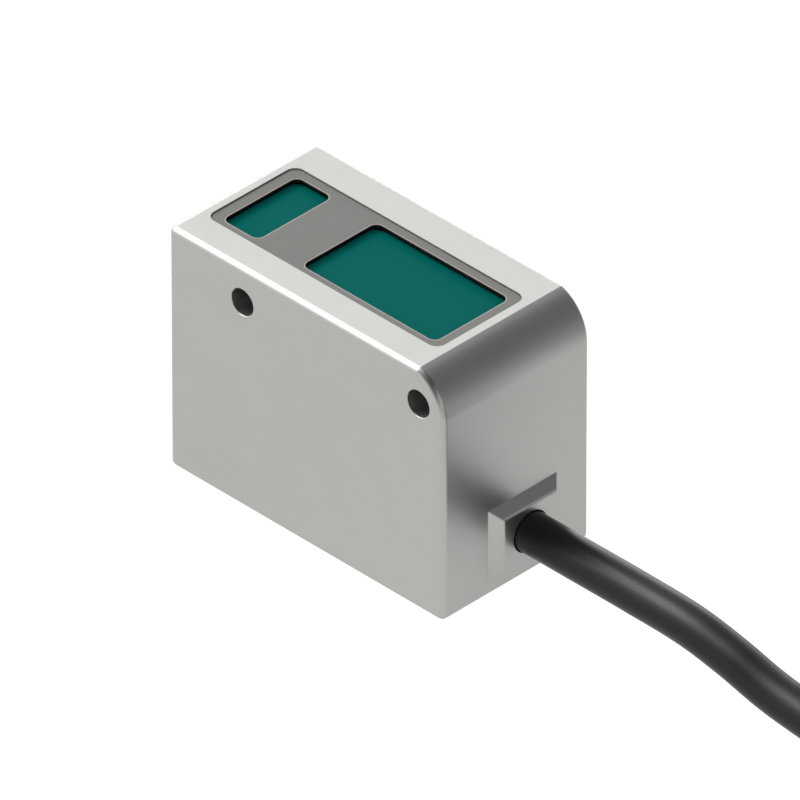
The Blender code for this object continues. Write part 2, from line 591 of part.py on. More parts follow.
def make_laser(brass, steel, lens_glass):
    column = Matrix.Translation((LASER_X, OPTICS_Y, 0))
    step = BARREL_BOTTOM + DIODE_FLANGE + 2 * GAP
    outside = [(DIODE_RADIUS + GAP, BARREL_BOTTOM), (BARREL_RADIUS, BARREL_BOTTOM),
               (BARREL_RADIUS, BARREL_TOP), (COLLIMATOR_RADIUS + GAP, BARREL_TOP)]
    inside = [(COLLIMATOR_RADIUS + GAP, COLLIMATOR_SEAT), (BARREL_BORE, COLLIMATOR_SEAT),
              (BARREL_BORE, step), (DIODE_RADIUS + GAP, step)]
    profile = outside + inside
    piece("laser_barrel", moved(lathe(profile, MEDIUM, closed=True), column), brass)

    flange = step - GAP
    can = [(0, flange - DIODE_FLANGE), (DIODE_RADIUS, flange - DIODE_FLANGE), (DIODE_RADIUS, flange),
           (DIODE_CAP_RADIUS, flange), (DIODE_CAP_RADIUS, flange + DIODE_CAP_HEIGHT),
           (0, flange + DIODE_CAP_HEIGHT)]
    diode = piece("laser_diode", moved(lathe(can, MEDIUM), column), steel)
    thirds = [2 * math.pi * i / 3 for i in range(3)]
    places = [Vector((math.cos(a), math.sin(a))) * DIODE_LEAD_CIRCLE for a in thirds]
    tip = flange - DIODE_FLANGE - DIODE_LEAD_LENGTH
    legs = [rod("Z", LASER_X + x, OPTICS_Y + y, DIODE_LEAD_RADIUS, tip, flange - DIODE_FLANGE / 2, SMALL)
            for x, y in places]
    join(diode, merged(*legs))

    middle = COLLIMATOR_SEAT + GAP + COLLIMATOR_CROWN + COLLIMATOR_EDGE / 2
    lens = disc_lens(COLLIMATOR_RADIUS, COLLIMATOR_EDGE, COLLIMATOR_CROWN, MEDIUM)
    piece("collimating_lens", moved(lens, column @ Matrix.Translation((0, 0, middle))), lens_glass)
    share = LOCK_RING_BORE / COLLIMATOR_RADIUS
    low = middle + GAP + lens_surface(share, COLLIMATOR_EDGE, COLLIMATOR_CROWN)
    ring = ring_shape(LOCK_RING_BORE, COLLIMATOR_RADIUS, low, low + LOCK_RING_LENGTH, MEDIUM)
    piece("collimator_lock_ring", moved(ring, column), brass)


def make_receiver(lens_glass, dark_metal):
    _, _, turn = lens_frame()
    lens = disc_lens(LENS_RADIUS, LENS_EDGE, LENS_CROWN, FINE)
    piece("receiving_lens", moved(lens, turn), lens_glass)
    low = GAP + lens_surface(LENS_RING_BORE / LENS_RADIUS, LENS_EDGE, LENS_CROWN)
    ring = ring_shape(LENS_RING_BORE, LENS_RADIUS, low, low + LENS_RING_LENGTH, FINE)
    piece("receiving_lens_ring", moved(ring, turn), dark_metal)


def make_bench(finish, screw_metal):
    side = WALL + BENCH_SIDE_GAP
    plate = block((LEFT + side, BENCH_FRONT, BENCH_BOTTOM), (RIGHT - side, BENCH_FACE, BENCH_TOP))
    bench = piece("optical_bench", plate, finish)
    overlap = BENCH_FACE - BENCH_PLATE / 2
    reach = BARREL_RADIUS + GAP + TOWER_WALL
    tower = block((LASER_X - reach, overlap, BENCH_BOTTOM + GAP),
                  (LASER_X + reach, OPTICS_Y + reach, BENCH_TOP - GAP))
    _, _, turn = lens_frame()
    half = LENS_BLOCK_HALF
    lens_block = block((-half, overlap - OPTICS_Y, -LENS_BLOCK_LENGTH / 2),
                       (half, half, LENS_BLOCK_LENGTH / 2))
    join(bench, merged(tower, moved(lens_block, turn)))
    sensor = sensor_frame()
    under = -SENSOR_CHIP[2] - SENSOR_BOARD[2] - 2 * GAP
    shelf = block((-SHELF_LENGTH / 2, overlap - OPTICS_Y, under - SHELF_THICKNESS),
                  (SHELF_LENGTH / 2, SENSOR_BOARD[1] / 2, under))
    stand_end = BOARD_FRONT - GAP
    stands = [rod("Y", x, z, STANDOFF_RADIUS, overlap, stand_end, SMALL) for x, z in BOARD_SCREWS]
    join(bench, merged(moved(shelf, sensor), *stands))

    barrel_hole = rod("Z", LASER_X, OPTICS_Y, BARREL_RADIUS + GAP, 0, HEIGHT, FINE)
    seat = -GAP - lens_surface(LENS_RING_BORE / LENS_RADIUS, LENS_EDGE, LENS_CROWN)
    light = rod("Z", 0, 0, LENS_RING_BORE, -LENS_BLOCK_LENGTH, LENS_BLOCK_LENGTH, FINE)
    pocket = rod("Z", 0, 0, LENS_RADIUS + GAP, seat, LENS_BLOCK_LENGTH, FINE)
    cut(bench, merged(barrel_hole, moved(light, turn)))
    cut(bench, moved(pocket, turn))
    hole = SCREW_RADIUS + GAP
    board_end = BOARD_BACK + GAP - PLAIN_SCREW_LENGTH
    taps = [rod("Y", x, z, hole, board_end - GAP, BOARD_BACK, SMALL) for x, z in BOARD_SCREWS]
    outside = CAVITY_FRONT - WALL
    taps += [rod("Y", x, z, hole, outside, BENCH_FACE + WALL, SMALL) for x, z in BENCH_SCREWS]
    cut(bench, merged(*taps))
    head = SOCKET_DEPTH + SOCKET_FLOOR
    length = PLAIN_SCREW_LENGTH + head
    for number, (x, z) in enumerate(BENCH_SCREWS, 1):
        screw(f"bench_screw_{number}", x, z, BENCH_FACE + GAP + head, length, False, screw_metal)
    for number, (x, z) in enumerate(BOARD_SCREWS, 1):
        screw(f"board_screw_{number}", x, z, BOARD_BACK + GAP + head, length, False, screw_metal)


def make_electronics(green_board, black_chip, socket_plastic, film, sensor_glass, ferrite):
    sensor = sensor_frame()
    chip = block((-SENSOR_CHIP[0] / 2, -SENSOR_CHIP[1] / 2, -SENSOR_CHIP[2]),
                 (SENSOR_CHIP[0] / 2, SENSOR_CHIP[1] / 2, 0))
    piece("image_sensor", moved(chip, sensor), sensor_glass)
    top = -SENSOR_CHIP[2] - GAP
    card = block((-SENSOR_BOARD[0] / 2, -SENSOR_BOARD[1] / 2, top - SENSOR_BOARD[2]),
                 (SENSOR_BOARD[0] / 2, SENSOR_BOARD[1] / 2, top))
    piece("sensor_board", moved(card, sensor), green_board)

    card = block((BOARD_LEFT, BOARD_FRONT, BOARD_BOTTOM), (BOARD_RIGHT, BOARD_BACK, BOARD_TOP))
    board = piece("main_board", card, green_board)
    hole = SCREW_RADIUS + GAP
    notches = [rod("Y", x, z, POST_RADIUS + BOARD_SIDE_GAP, CAVITY_FRONT, BACK) for x, z in POSTS]
    holes = [rod("Y", x, z, hole, CAVITY_FRONT, BACK, SMALL) for x, z in BOARD_SCREWS]
    cut(board, merged(*notches, *holes))

    low = BOARD_BACK + GAP
    for name, (end, along, edge, across, (wide, tall, thick)) in CHIPS.items():
        x = BOARD_LEFT + along if end == "left" else BOARD_RIGHT - along
        z = BOARD_BOTTOM + across if edge == "bottom" else BOARD_TOP - across
        shape = block((x - wide / 2, low, z - tall / 2), (x + wide / 2, low + thick, z + tall / 2))
        piece(name, shape, ferrite if name == "power_inductor" else black_chip)
    wide, deep, tall = LEAD_SOCKET
    back = BOARD_FRONT - GAP
    socket = block((LEAD_SOCKET_X - wide / 2, back - deep, LEAD_SOCKET_Z - tall / 2),
                   (LEAD_SOCKET_X + wide / 2, back, LEAD_SOCKET_Z + tall / 2))
    piece("lead_socket", socket, socket_plastic)

    # The flat cable lies on the sensor board's rear edge and turns up along the main board.
    start = SENSOR_BOARD[1] / 2 - FLEX_LAP
    bend = BOARD_FRONT - GAP - FLEX_THICKNESS - OPTICS_Y
    low = top + GAP
    high = low + FLEX_RISE
    thick = FLEX_THICKNESS
    outline = [(start, low), (bend + thick, low), (bend + thick, high), (bend, high),
               (bend, low + thick), (start, low + thick)]
    strip = prism(outline, "X", -FLEX_WIDTH / 2, FLEX_WIDTH / 2)
    piece("sensor_flat_cable", moved(strip, sensor), film)


def smooth_route(points, step):
    # Points about one step apart on a smooth curve through the route's own points.
    knots = [Vector(p) for p in points]
    padded = [2 * knots[0] - knots[1]] + knots + [2 * knots[-1] - knots[-2]]
    fine = []
    parts = 24
    for a, b, c, d in zip(padded, padded[1:], padded[2:], padded[3:]):
        for i in range(parts):
            t = i / parts
            fine.append(0.5 * (2 * b + (c - a) * t + (2 * a - 5 * b + 4 * c - d) * t * t
                               + (3 * b - a - 3 * c + d) * t * t * t))
    fine.append(knots[-1])
    total = sum((q - p).length for p, q in zip(fine, fine[1:]))
    count = max(2, round(total / step))
    wanted = total / count
    route = [fine[0]]
    run = 0.0
    for p, q in zip(fine, fine[1:]):
        run += (q - p).length
        if run >= wanted * len(route) and len(route) < count:
            route.append(q)
    route.append(fine[-1])
    return route


def tube(name, points, radius, finish, roundness=2):
    line = bpy.data.curves.new(name, "CURVE")
    line.dimensions = "3D"
    line.bevel_depth = radius
    line.bevel_resolution = roundness
    line.use_fill_caps = True
    spline = line.splines.new("POLY")
    spline.points.add(len(points) - 1)
    for knot, place in zip(spline.points, points):
        knot.co = (*place, 1.0)
    line.materials.append(finish)
    made = bpy.data.objects.new(name, line)
    bpy.context.scene.collection.objects.link(made)
    return made


def in_order(first, second):
    # The leads' numbers sorted by one coordinate of their places in the bundle, then the other.
    def key(number):
        place = bundle_place(number)
        return round(place[first] / MM, 3), place[second]
    return sorted(range(len(LEAD_COLOURS)), key=key)


def bundle_place(number):
    angle = math.pi / 2 + 2 * math.pi * number / len(LEAD_COLOURS)
    return LEAD_CIRCLE * math.cos(angle), LEAD_CIRCLE * math.sin(angle)


def make_inner_cable(rubber, crimp_metal, lead_finishes):
    start = RIGHT - WALL
    axis = Matrix.Translation((0, CABLE_Y, CABLE_Z)) @ Matrix.Rotation(math.pi / 2, 4, "Y")
    seal = ring_shape(CABLE_BORE, SEAL_RADIUS, start, start + SEAL_LENGTH, FINE)
    piece("cable_seal", moved(seal, axis), rubber)
    high = start - GAP
    ferrule = ring_shape(CABLE_BORE, CABLE_BORE + FERRULE_WALL, high - FERRULE_LENGTH, high, FINE)
    piece("cable_ferrule", moved(ferrule, axis), crimp_metal)

    begin = start - JACKET_INSIDE - FREE_GAP
    entry = LEAD_SOCKET_X + LEAD_SOCKET[0] / 2 + FREE_GAP
    entry_y = BOARD_FRONT - GAP - LEAD_SOCKET[1] / 2
    for rank, number in enumerate(in_order(1, 0)):
        y, z = bundle_place(number)
        end_z = LEAD_SOCKET_Z + (rank - (len(LEAD_COLOURS) - 1) / 2) * LEAD_PITCH
        run = begin - entry
        route = [(begin, CABLE_Y + y, CABLE_Z + z),
                 (begin - LEAD_STRAIGHT_SHARE * run, CABLE_Y + y, CABLE_Z + z),
                 (entry + LEAD_ENTRY_SHARE * run, entry_y, end_z),
                 (entry, entry_y, end_z)]
        colour = LEAD_COLOURS[number]
        line = smooth_route(route, 5 * LEAD_RADIUS)
        tube(f"inner_lead_{colour}", line, LEAD_RADIUS, lead_finishes[colour])


def on_hank(turns, radius, height):
    # A place on a turn: front run, right fold, back run, left fold.
    along = turns % 1.0 * HANK_LAP
    half = HANK_LAP / 2
    if along % half < HANK_STRAIGHT:
        if along < half:
            return (HANK_LEFT + along, HANK_Y - radius, height)
        return (HANK_RIGHT - (along - half), HANK_Y + radius, height)
    angle = math.pi * ((along % half - HANK_STRAIGHT) / HANK_FOLD - 0.5)
    if along < half:
        return (HANK_RIGHT + radius * math.cos(angle), HANK_Y + radius * math.sin(angle), height)
    return (HANK_LEFT - radius * math.cos(angle), HANK_Y - radius * math.sin(angle), height)


def hank_outline(radius):
    corners = []
    for middle, side in ((HANK_RIGHT, 1), (HANK_LEFT, -1)):
        for i in range(HANK_STEPS + 1):
            angle = math.pi * (i / HANK_STEPS - 0.5)
            corners.append((middle + side * radius * math.cos(angle),
                            HANK_Y + side * radius * math.sin(angle)))
    return corners


def make_hank(jacket, strap):
    # The outer shape of the wound cable. Returns the height of the full layers.
    inner = HANK_INNER_TURN - CABLE_RADIUS
    outer = HANK_OUTER_TURN + CABLE_RADIUS
    shelf = outer - HANK_PITCH
    low = HANK_BOTTOM
    mid = low + HANK_PITCH * (HANK_FULL_LAYERS - 1) + 2 * CABLE_RADIUS
    high = mid + HANK_PITCH
    hank = piece("cable_hank", prism(hank_outline(outer), "Z", low, high), jacket)
    cut(hank, prism(hank_outline(inner), "Z", low - HANK_PITCH, high + HANK_PITCH))
    cut(hank, prism(hank_outline(shelf), "Z", mid, high + HANK_PITCH))

    # A strap round the waist of both runs, touching the surface below.
    side = outer + GAP
    t = TIE_THICKNESS
    outside = [(HANK_Y - side - t, 0), (HANK_Y + side + t, 0),
               (HANK_Y + side + t, high + GAP + t), (HANK_Y - side - t, high + GAP + t)]
    inside = [(HANK_Y - side, low - GAP), (HANK_Y + side, low - GAP),
              (HANK_Y + side, high + GAP), (HANK_Y - side, high + GAP)]
    tie = piece("hank_tie", prism(outside, "X", HANK_X - TIE_WIDTH / 2, HANK_X + TIE_WIDTH / 2), strap)
    cut(tie, prism(inside, "X", HANK_X - TIE_WIDTH, HANK_X + TIE_WIDTH))
    return mid


def make_free_cable(jacket, strap, lead_finishes):
    first = (RIGHT - WALL - JACKET_INSIDE, CABLE_Y, CABLE_Z)
    exit_point = (RIGHT + BOSS_HEIGHT, CABLE_Y, CABLE_Z)
    route = [first, exit_point] + [(x, CABLE_Y, z) for x, z in CABLE_DROP]
    tube("cable", smooth_route(route, 4 * CABLE_RADIUS), CABLE_RADIUS, jacket, 4)
    layers_top = make_hank(jacket, strap)

    # The cable's end lies where the top layer leaves its inner column free, and its bare leads
    # run on along it.
    tail_radius = HANK_INNER_TURN - FREE_GAP
    tail_height = layers_top + GAP + CABLE_RADIUS
    stations = [TAIL_START + (TAIL_END - TAIL_START) * i / TAIL_STEPS for i in range(TAIL_STEPS + 1)]
    tail = [on_hank(turns, tail_radius, tail_height) for turns in stations]
    tube("cable_tail", tail, CABLE_RADIUS, jacket, 4)
    middle = (len(LEAD_COLOURS) - 1) / 2
    rest = layers_top + GAP + LEAD_RADIUS
    for rank, number in enumerate(in_order(0, 1)):
        side, rise = bundle_place(number)
        line = []
        for i in range(FLYING_LEAD_STATIONS + 1):
            share = i / FLYING_LEAD_STATIONS
            fall = min(1.0, share / FLYING_LEAD_FALL)
            blend = fall * fall * (3 - 2 * fall)
            radius = tail_radius + side * (1 - blend) + (rank - middle) * FLYING_LEAD_PITCH * blend
            height = (tail_height + rise) * (1 - blend) + rest * blend
            run = FREE_GAP + FLYING_LEAD_LENGTH * share
            line.append(on_hank(TAIL_END + run / HANK_LAP, radius, height))
        colour = LEAD_COLOURS[number]
        tube(f"flying_lead_{colour}", line, LEAD_RADIUS, lead_finishes[colour])


def main():
    clear_scene()
    cast = material("cast_metal", (0.62, 0.62, 0.60), 1.0, 0.32)
    grey = material("bezel_grey", (0.24, 0.24, 0.23), 0.0, 0.5)
    teal = material("window_teal", (0.01, 0.14, 0.12), 0.0, 0.12)
    rubber = material("black_rubber", (0.02, 0.02, 0.02), 0.0, 0.7)
    steel = material("stainless_steel", (0.55, 0.55, 0.54), 1.0, 0.3)
    brass = material("brass", (0.7, 0.5, 0.2), 1.0, 0.3)
    dark = material("black_anodised", (0.03, 0.03, 0.03), 0.6, 0.5)
    clear = material("lens_glass", (0.8, 0.85, 0.9), 0.0, 0.05, 0.4)
    board = material("circuit_board", (0.02, 0.15, 0.06), 0.0, 0.45)
    chip = material("chip_resin", (0.03, 0.03, 0.03), 0.0, 0.6)
    ferrite = material("ferrite", (0.09, 0.09, 0.1), 0.0, 0.7)
    cream = material("socket_plastic", (0.75, 0.72, 0.62), 0.0, 0.5)
    film = material("amber_film", (0.45, 0.2, 0.03), 0.0, 0.35)
    sensor = material("sensor_glass", (0.05, 0.05, 0.09), 0.0, 0.1)
    jacket = material("cable_jacket", (0.02, 0.02, 0.021), 0.0, 0.5)
    strap = material("strap_black", (0.03, 0.03, 0.03), 0.0, 0.8)
    shades = {"brown": (0.12, 0.04, 0.015), "white": (0.8, 0.8, 0.78), "blue": (0.02, 0.08, 0.4),
              "black": (0.015, 0.015, 0.015), "grey": (0.25, 0.25, 0.25)}
    leads = {name: material(f"lead_{name}", shades[name], 0.0, 0.5) for name in LEAD_COLOURS}
    make_housing(cast)
    make_cover(cast, rubber, steel)
    make_windows(grey, teal, rubber)
    make_bench(dark, steel)
    make_laser(brass, steel, clear)
    make_receiver(clear, dark)
    make_electronics(board, chip, cream, film, sensor, ferrite)
    make_inner_cable(rubber, steel, leads)
    make_free_cable(jacket, strap, leads)


main()
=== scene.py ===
import math

import bmesh
import bpy
from mathutils import Matrix, Vector


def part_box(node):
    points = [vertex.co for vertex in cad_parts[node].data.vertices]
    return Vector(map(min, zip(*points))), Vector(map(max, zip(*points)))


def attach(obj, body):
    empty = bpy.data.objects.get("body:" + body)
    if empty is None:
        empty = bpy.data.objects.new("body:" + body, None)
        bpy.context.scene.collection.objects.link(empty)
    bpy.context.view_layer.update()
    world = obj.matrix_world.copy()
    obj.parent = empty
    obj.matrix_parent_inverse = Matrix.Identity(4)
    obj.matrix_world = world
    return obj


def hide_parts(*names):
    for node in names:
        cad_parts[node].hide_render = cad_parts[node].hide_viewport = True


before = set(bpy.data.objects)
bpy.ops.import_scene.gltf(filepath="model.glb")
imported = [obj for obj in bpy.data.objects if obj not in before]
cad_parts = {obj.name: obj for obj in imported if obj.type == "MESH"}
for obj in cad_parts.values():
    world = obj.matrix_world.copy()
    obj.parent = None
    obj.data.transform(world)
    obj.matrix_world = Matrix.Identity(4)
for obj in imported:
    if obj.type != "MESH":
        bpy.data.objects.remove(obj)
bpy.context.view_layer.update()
mm = 0.001
touch = 0.01  # mm, within which a point lies on a plane
weld = 0.0005  # mm, within which points are one
past = 1.0  # mm that a cutting shape reaches beyond what it cuts
print("frame loaded,", len(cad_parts), "nodes")

# Laser displacement sensor on a pale floor: satin metal housing, grey bezel with two teal
# filter windows, black cable that runs off to a tied hank and ends in five bare leads.


# Small helpers

def hexColour(text):  # sRGB hex to linear RGBA
    parts = [int(text[i:i + 2], 16) / 255 for i in (1, 3, 5)]
    linear = [c / 12.92 if c <= 0.04045 else ((c + 0.055) / 1.055) ** 2.4 for c in parts]
    return (*linear, 1.0)


def addNode(tree, kind, settings=None, links=None):
    # A setting is a property of the node or else the value of one of its inputs.
    node = tree.nodes.new(kind)
    for name, value in (settings or {}).items():
        if isinstance(name, str) and hasattr(node, name):
            setattr(node, name, value)
        else:
            node.inputs[name].default_value = value
    for name, source in (links or {}).items():
        tree.links.new(source, node.inputs[name])
    return node


def newMaterial(name):
    made = bpy.data.materials.new(name)
    made.use_nodes = True
    made.node_tree.nodes.clear()
    return made, made.node_tree


def newObject(name, data):
    made = bpy.data.objects.new(name, data)
    bpy.context.scene.collection.objects.link(made)
    return made


def turnTo(made, direction):
    # Cameras and lamps look along their own -Z.
    made.rotation_mode = "QUATERNION"
    made.rotation_quaternion = direction.to_track_quat("-Z", "Y")


def newPiece(name, shape, finish=None):
    # Shapes are drawn in millimetres, and become metres here.
    bmesh.ops.scale(shape, vec=(mm, mm, mm), verts=shape.verts)
    mesh = bpy.data.meshes.new(name)
    shape.to_mesh(mesh)
    shape.free()
    if finish:
        mesh.materials.append(finish)
    piece = newObject(name, mesh)
    return piece


def carve(piece, shape, operation="DIFFERENCE"):
    # One Boolean step, applied at once, so that no helper stays in the file.
    helper = newPiece("helper", shape)
    step = piece.modifiers.new("carve", "BOOLEAN")
    step.operation = operation
    step.solver = "EXACT"
    step.object = helper
    view = bpy.context.evaluated_depsgraph_get()
    done = bpy.data.meshes.new_from_object(piece.evaluated_get(view))
    used = (piece.data, helper.data)
    piece.modifiers.clear()
    piece.data = done
    bpy.data.objects.remove(helper)
    for mesh in used:
        bpy.data.meshes.remove(mesh)


def finishShading(piece, smoothAngle=30):
    piece.data.shade_smooth()
    piece.data.set_sharp_from_angle(angle=math.radians(smoothAngle))
    weigh = piece.modifiers.new("even shading", "WEIGHTED_NORMAL")
    weigh.keep_sharp = True


def boxShape(low, high):
    shape = bmesh.new()
    middle = [(a + b) / 2 for a, b in zip(low, high)]
    size = [b - a for a, b in zip(low, high)]
    place = Matrix.Translation(middle) @ Matrix.Diagonal((*size, 1.0))
    bmesh.ops.create_cube(shape, size=1.0, matrix=place)
    return shape


def roundEdges(shape, edges, width, segments):
    bmesh.ops.bevel(shape, geom=edges, offset=width, segments=segments, profile=0.5,
                    affect="EDGES", material=-1, clamp_overlap=False)
    return shape


def edgesAt(shape, axis, place):
    # The edges that lie in one plane square to an axis.
    along = "XYZ".index(axis)
    return [e for e in shape.edges if all(abs(v.co[along] - place) < touch for v in e.verts)]


def roundedBox(low, high, radius, axis, segments=8):
    # A box whose four edges along one axis are rounded.
    shape = boxShape(low, high)
    along = "XYZ".index(axis)
    edges = [e for e in shape.edges if abs((e.verts[0].co - e.verts[1].co)[along]) > touch]
    return roundEdges(shape, edges, radius, segments)


def turned(profile, matrix, segments=48):
    # The profile is (radius, height) points, spun round Z and then put in place.
    shape = bmesh.new()
    points = [shape.verts.new((r, 0, z)) for r, z in profile]
    edges = [shape.edges.new(pair) for pair in zip(points, points[1:])]
    bmesh.ops.spin(shape, geom=points + edges, cent=(0, 0, 0), axis=(0, 0, 1),
                   angle=2 * math.pi, steps=segments, use_merge=True)
    bmesh.ops.remove_doubles(shape, verts=shape.verts, dist=weld)
    bmesh.ops.recalc_face_normals(shape, faces=shape.faces)
    bmesh.ops.transform(shape, matrix=matrix, verts=shape.verts)
    return shape


def alongY(x, y, z):  # turns +Z to +Y
    return Matrix.Translation((x, y, z)) @ Matrix.Rotation(-math.pi / 2, 4, "X")


def alongX(x, y, z):  # turns +Z to +X
    return Matrix.Translation((x, y, z)) @ Matrix.Rotation(math.pi / 2, 4, "Y")


# Materials

def speckled(name, settings):
    # A Principled finish whose colour, roughness and height vary with two noises of real sizes.
    made, tree = newMaterial(name)
    place = addNode(tree, "ShaderNodeTexCoord").outputs["Object"]
    fine = addNode(tree, "ShaderNodeTexNoise",
                   {"Scale": 1 / (settings["grain"] * mm), "Detail": 2.0, "Roughness": 0.5},
                   {"Vector": place})
    broad = addNode(tree, "ShaderNodeTexNoise",
                    {"Scale": 1 / (settings["patch"] * mm), "Detail": 2.0}, {"Vector": place})
    tone = addNode(tree, "ShaderNodeMix", {"data_type": "RGBA", 6: hexColour(settings["dark"]),
                                           7: hexColour(settings["light"])}, {0: broad.outputs["Fac"]})
    gloss = addNode(tree, "ShaderNodeMapRange",
                    {"To Min": settings["roughness"][0], "To Max": settings["roughness"][1]},
                    {"Value": broad.outputs["Fac"]})
    height = addNode(tree, "ShaderNodeBump", {"Strength": settings["bump"], "Distance": 0.02 * mm},
                     {"Height": fine.outputs["Fac"]})
    shader = addNode(tree, "ShaderNodeBsdfPrincipled",
                     {"Metallic": settings.get("metallic", 0.0), **settings.get("sockets", {})},
                     {"Base Color": tone.outputs[2], "Roughness": gloss.outputs["Result"],
                      "Normal": height.outputs["Normal"]})
    addNode(tree, "ShaderNodeOutputMaterial", None, {"Surface": shader.outputs["BSDF"]})
    return made


finishes = {
    # Zinc die casting, fine bead blasted and clear passivated: satin, nearly colourless, no grain to see.
    "satinZinc": {"dark": "#D1D3CF", "light": "#D7D9D5", "roughness": (0.36, 0.4), "metallic": 1.0,
                  "grain": 0.3, "patch": 6.0, "bump": 0.06},
    # Glass filled plastic, spark eroded mould, its face painted an even matt grey.
    "mouldedGrey": {"dark": "#7A7B77", "light": "#80817D", "roughness": (0.5, 0.56),
                    "grain": 0.25, "patch": 4.0, "bump": 0.12},
    # Painted shade: plain black on the walls of the bezel's openings, standing in for the shade inside
    # them.
    "openingShadeBlack": {"dark": "#141414", "light": "#191919", "roughness": (0.6, 0.7),
                     "grain": 0.25, "patch": 4.0, "bump": 0.12},
    # Coated colour filter glass: deep teal, nearly free of reflections.
    "tealFilter": {"dark": "#05655F", "light": "#066962", "roughness": (0.28, 0.32),
                   "grain": 0.5, "patch": 9.0, "bump": 0.0, "sockets": {"Specular IOR Level": 0.02}},
    # PVC jacket, extruded: black, softly shining, faintly uneven.
    "pvcJacket": {"dark": "#161617", "light": "#1B1B1C", "roughness": (0.28, 0.34),
                  "grain": 0.4, "patch": 5.0, "bump": 0.1, "sockets": {"Specular IOR Level": 0.4}},
    # Nitrile rubber, moulded: dull black.
    "nitrile": {"dark": "#121212", "light": "#1A1A1A", "roughness": (0.65, 0.8),
                "grain": 0.3, "patch": 3.0, "bump": 0.15},
    # Hook and loop tape, woven polyamide: black fuzz without shine.
    "loopTape": {"dark": "#0F0F10", "light": "#222224", "roughness": (0.85, 0.95),
                 "grain": 0.35, "patch": 0.9, "bump": 0.8},
    # Painted highlight: a paler, faintly warm line on the step round each opening of the bezel, standing in
    # for the light its edge catches.
    "openingEdgeHighlight": {"dark": "#A59C98", "light": "#ADA5A1", "roughness": (0.45, 0.55),
                 "grain": 0.3, "patch": 3.0, "bump": 0.05},
    # Stainless steel, cold headed and tumbled: bright with soft marks.
    "stainless": {"dark": "#B9B8B4", "light": "#CBCAC6", "roughness": (0.2, 0.32), "metallic": 1.0,
                  "grain": 0.15, "patch": 0.8, "bump": 0.05},
    # Brass, turned.
    "brass": {"dark": "#C69A4C", "light": "#DDB566", "roughness": (0.22, 0.32), "metallic": 1.0,
              "grain": 0.2, "patch": 2.0, "bump": 0.05},
    # Aluminium, machined and black anodised: charcoal with a satin sheen.
    "blackAnodised": {"dark": "#1E1F20", "light": "#292A2B", "roughness": (0.4, 0.5), "metallic": 0.6,
                      "grain": 0.2, "patch": 4.0, "bump": 0.1},
    # Optical glass, polished.
    "lensGlass": {"dark": "#F4F8FA", "light": "#FFFFFF", "roughness": (0.02, 0.04),
                  "grain": 1.0, "patch": 5.0, "bump": 0.0,
                  "sockets": {"Transmission Weight": 1.0, "IOR": 1.52}},
    # Glass fibre board under green solder mask.
    "solderMask": {"dark": "#0E4A2A", "light": "#15603A", "roughness": (0.3, 0.42),
                   "grain": 0.35, "patch": 2.2, "bump": 0.2},
    # Epoxy moulding compound: black with a fine sparkle of filler.
    "epoxyPackage": {"dark": "#1B1B1C", "light": "#2C2C2D", "roughness": (0.5, 0.65),
                     "grain": 0.12, "patch": 0.4, "bump": 0.25},
    # Ferrite, pressed and sintered: dark grey and dull.
    "ferrite": {"dark": "#3A3A3C", "light": "#4B4B4D", "roughness": (0.6, 0.75),
                "grain": 0.15, "patch": 0.7, "bump": 0.3},
    # Nylon, natural: warm white.
    "nylon": {"dark": "#D5CDB5", "light": "#E4DCC6", "roughness": (0.4, 0.52),
              "grain": 0.3, "patch": 3.0, "bump": 0.1},
    # Polyimide film: clear amber over copper.
    "polyimide": {"dark": "#A35F12", "light": "#C27A20", "roughness": (0.25, 0.35),
                  "grain": 0.4, "patch": 1.5, "bump": 0.08},
    # Image sensor under its cover glass: blue black.
    "sensorGlass": {"dark": "#15151F", "light": "#22222F", "roughness": (0.06, 0.12),
                    "grain": 0.6, "patch": 2.0, "bump": 0.0},
    # Copper strands, tinned: soft silver.
    "tinnedCopper": {"dark": "#B4B1A8", "light": "#CCC9C0", "roughness": (0.3, 0.4), "metallic": 1.0,
                     "grain": 0.1, "patch": 0.5, "bump": 0.1},
}
# PVC lead insulation, extruded: a thin, slightly glossy skin in five plain colours.
leadColours = {"brown": ("#5A3520", "#65402A"), "white": ("#E2E1DC", "#EDECE8"),
               "blue": ("#1E4C9A", "#2558AC"), "black": ("#151516", "#1D1D1E"),
               "grey": ("#85868A", "#929397")}
for name, (dark, light) in leadColours.items():
    finishes[f"lead_{name}"] = {"dark": dark, "light": light, "roughness": (0.35, 0.45),
                                "grain": 0.3, "patch": 3.0, "bump": 0.05}
material = {name: speckled(name, settings) for name, settings in finishes.items()}

nodeFinishes = {
    "nitrile": ["cover_gasket", "emitter_window_seal", "receiver_window_seal", "cable_seal"],
    "stainless": ["bench_screw_1", "bench_screw_2", "board_screw_1", "board_screw_2", "board_screw_3",
                  "laser_diode", "cable_ferrule"],
    "brass": ["laser_barrel", "collimator_lock_ring"],
    "blackAnodised": ["optical_bench", "receiving_lens_ring"],
    "lensGlass": ["collimating_lens", "receiving_lens"],
    "solderMask": ["sensor_board", "main_board"],
    "epoxyPackage": ["processor_chip", "laser_driver_chip", "signal_converter_chip",
                     "supply_capacitor_1", "supply_capacitor_2"],
    "ferrite": ["power_inductor"],
    "nylon": ["lead_socket"],
    "polyimide": ["sensor_flat_cable"],
    "sensorGlass": ["image_sensor"],
    **{f"lead_{name}": [f"inner_lead_{name}"] for name in leadColours},
}
for finish, names in nodeFinishes.items():
    for name in names:
        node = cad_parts[name]
        node.data.materials.clear()
        node.data.materials.append(material[finish])
print("materials made,", len(material))


# Camera at the photograph's angle, far off with a lens so long that edges stay parallel

camera = {"lookAt": (4.2, -0.7, 16.6), "azimuth": 45.0, "elevation": 35.26, "distance": 3000.0,
          "lens": 1189.0}


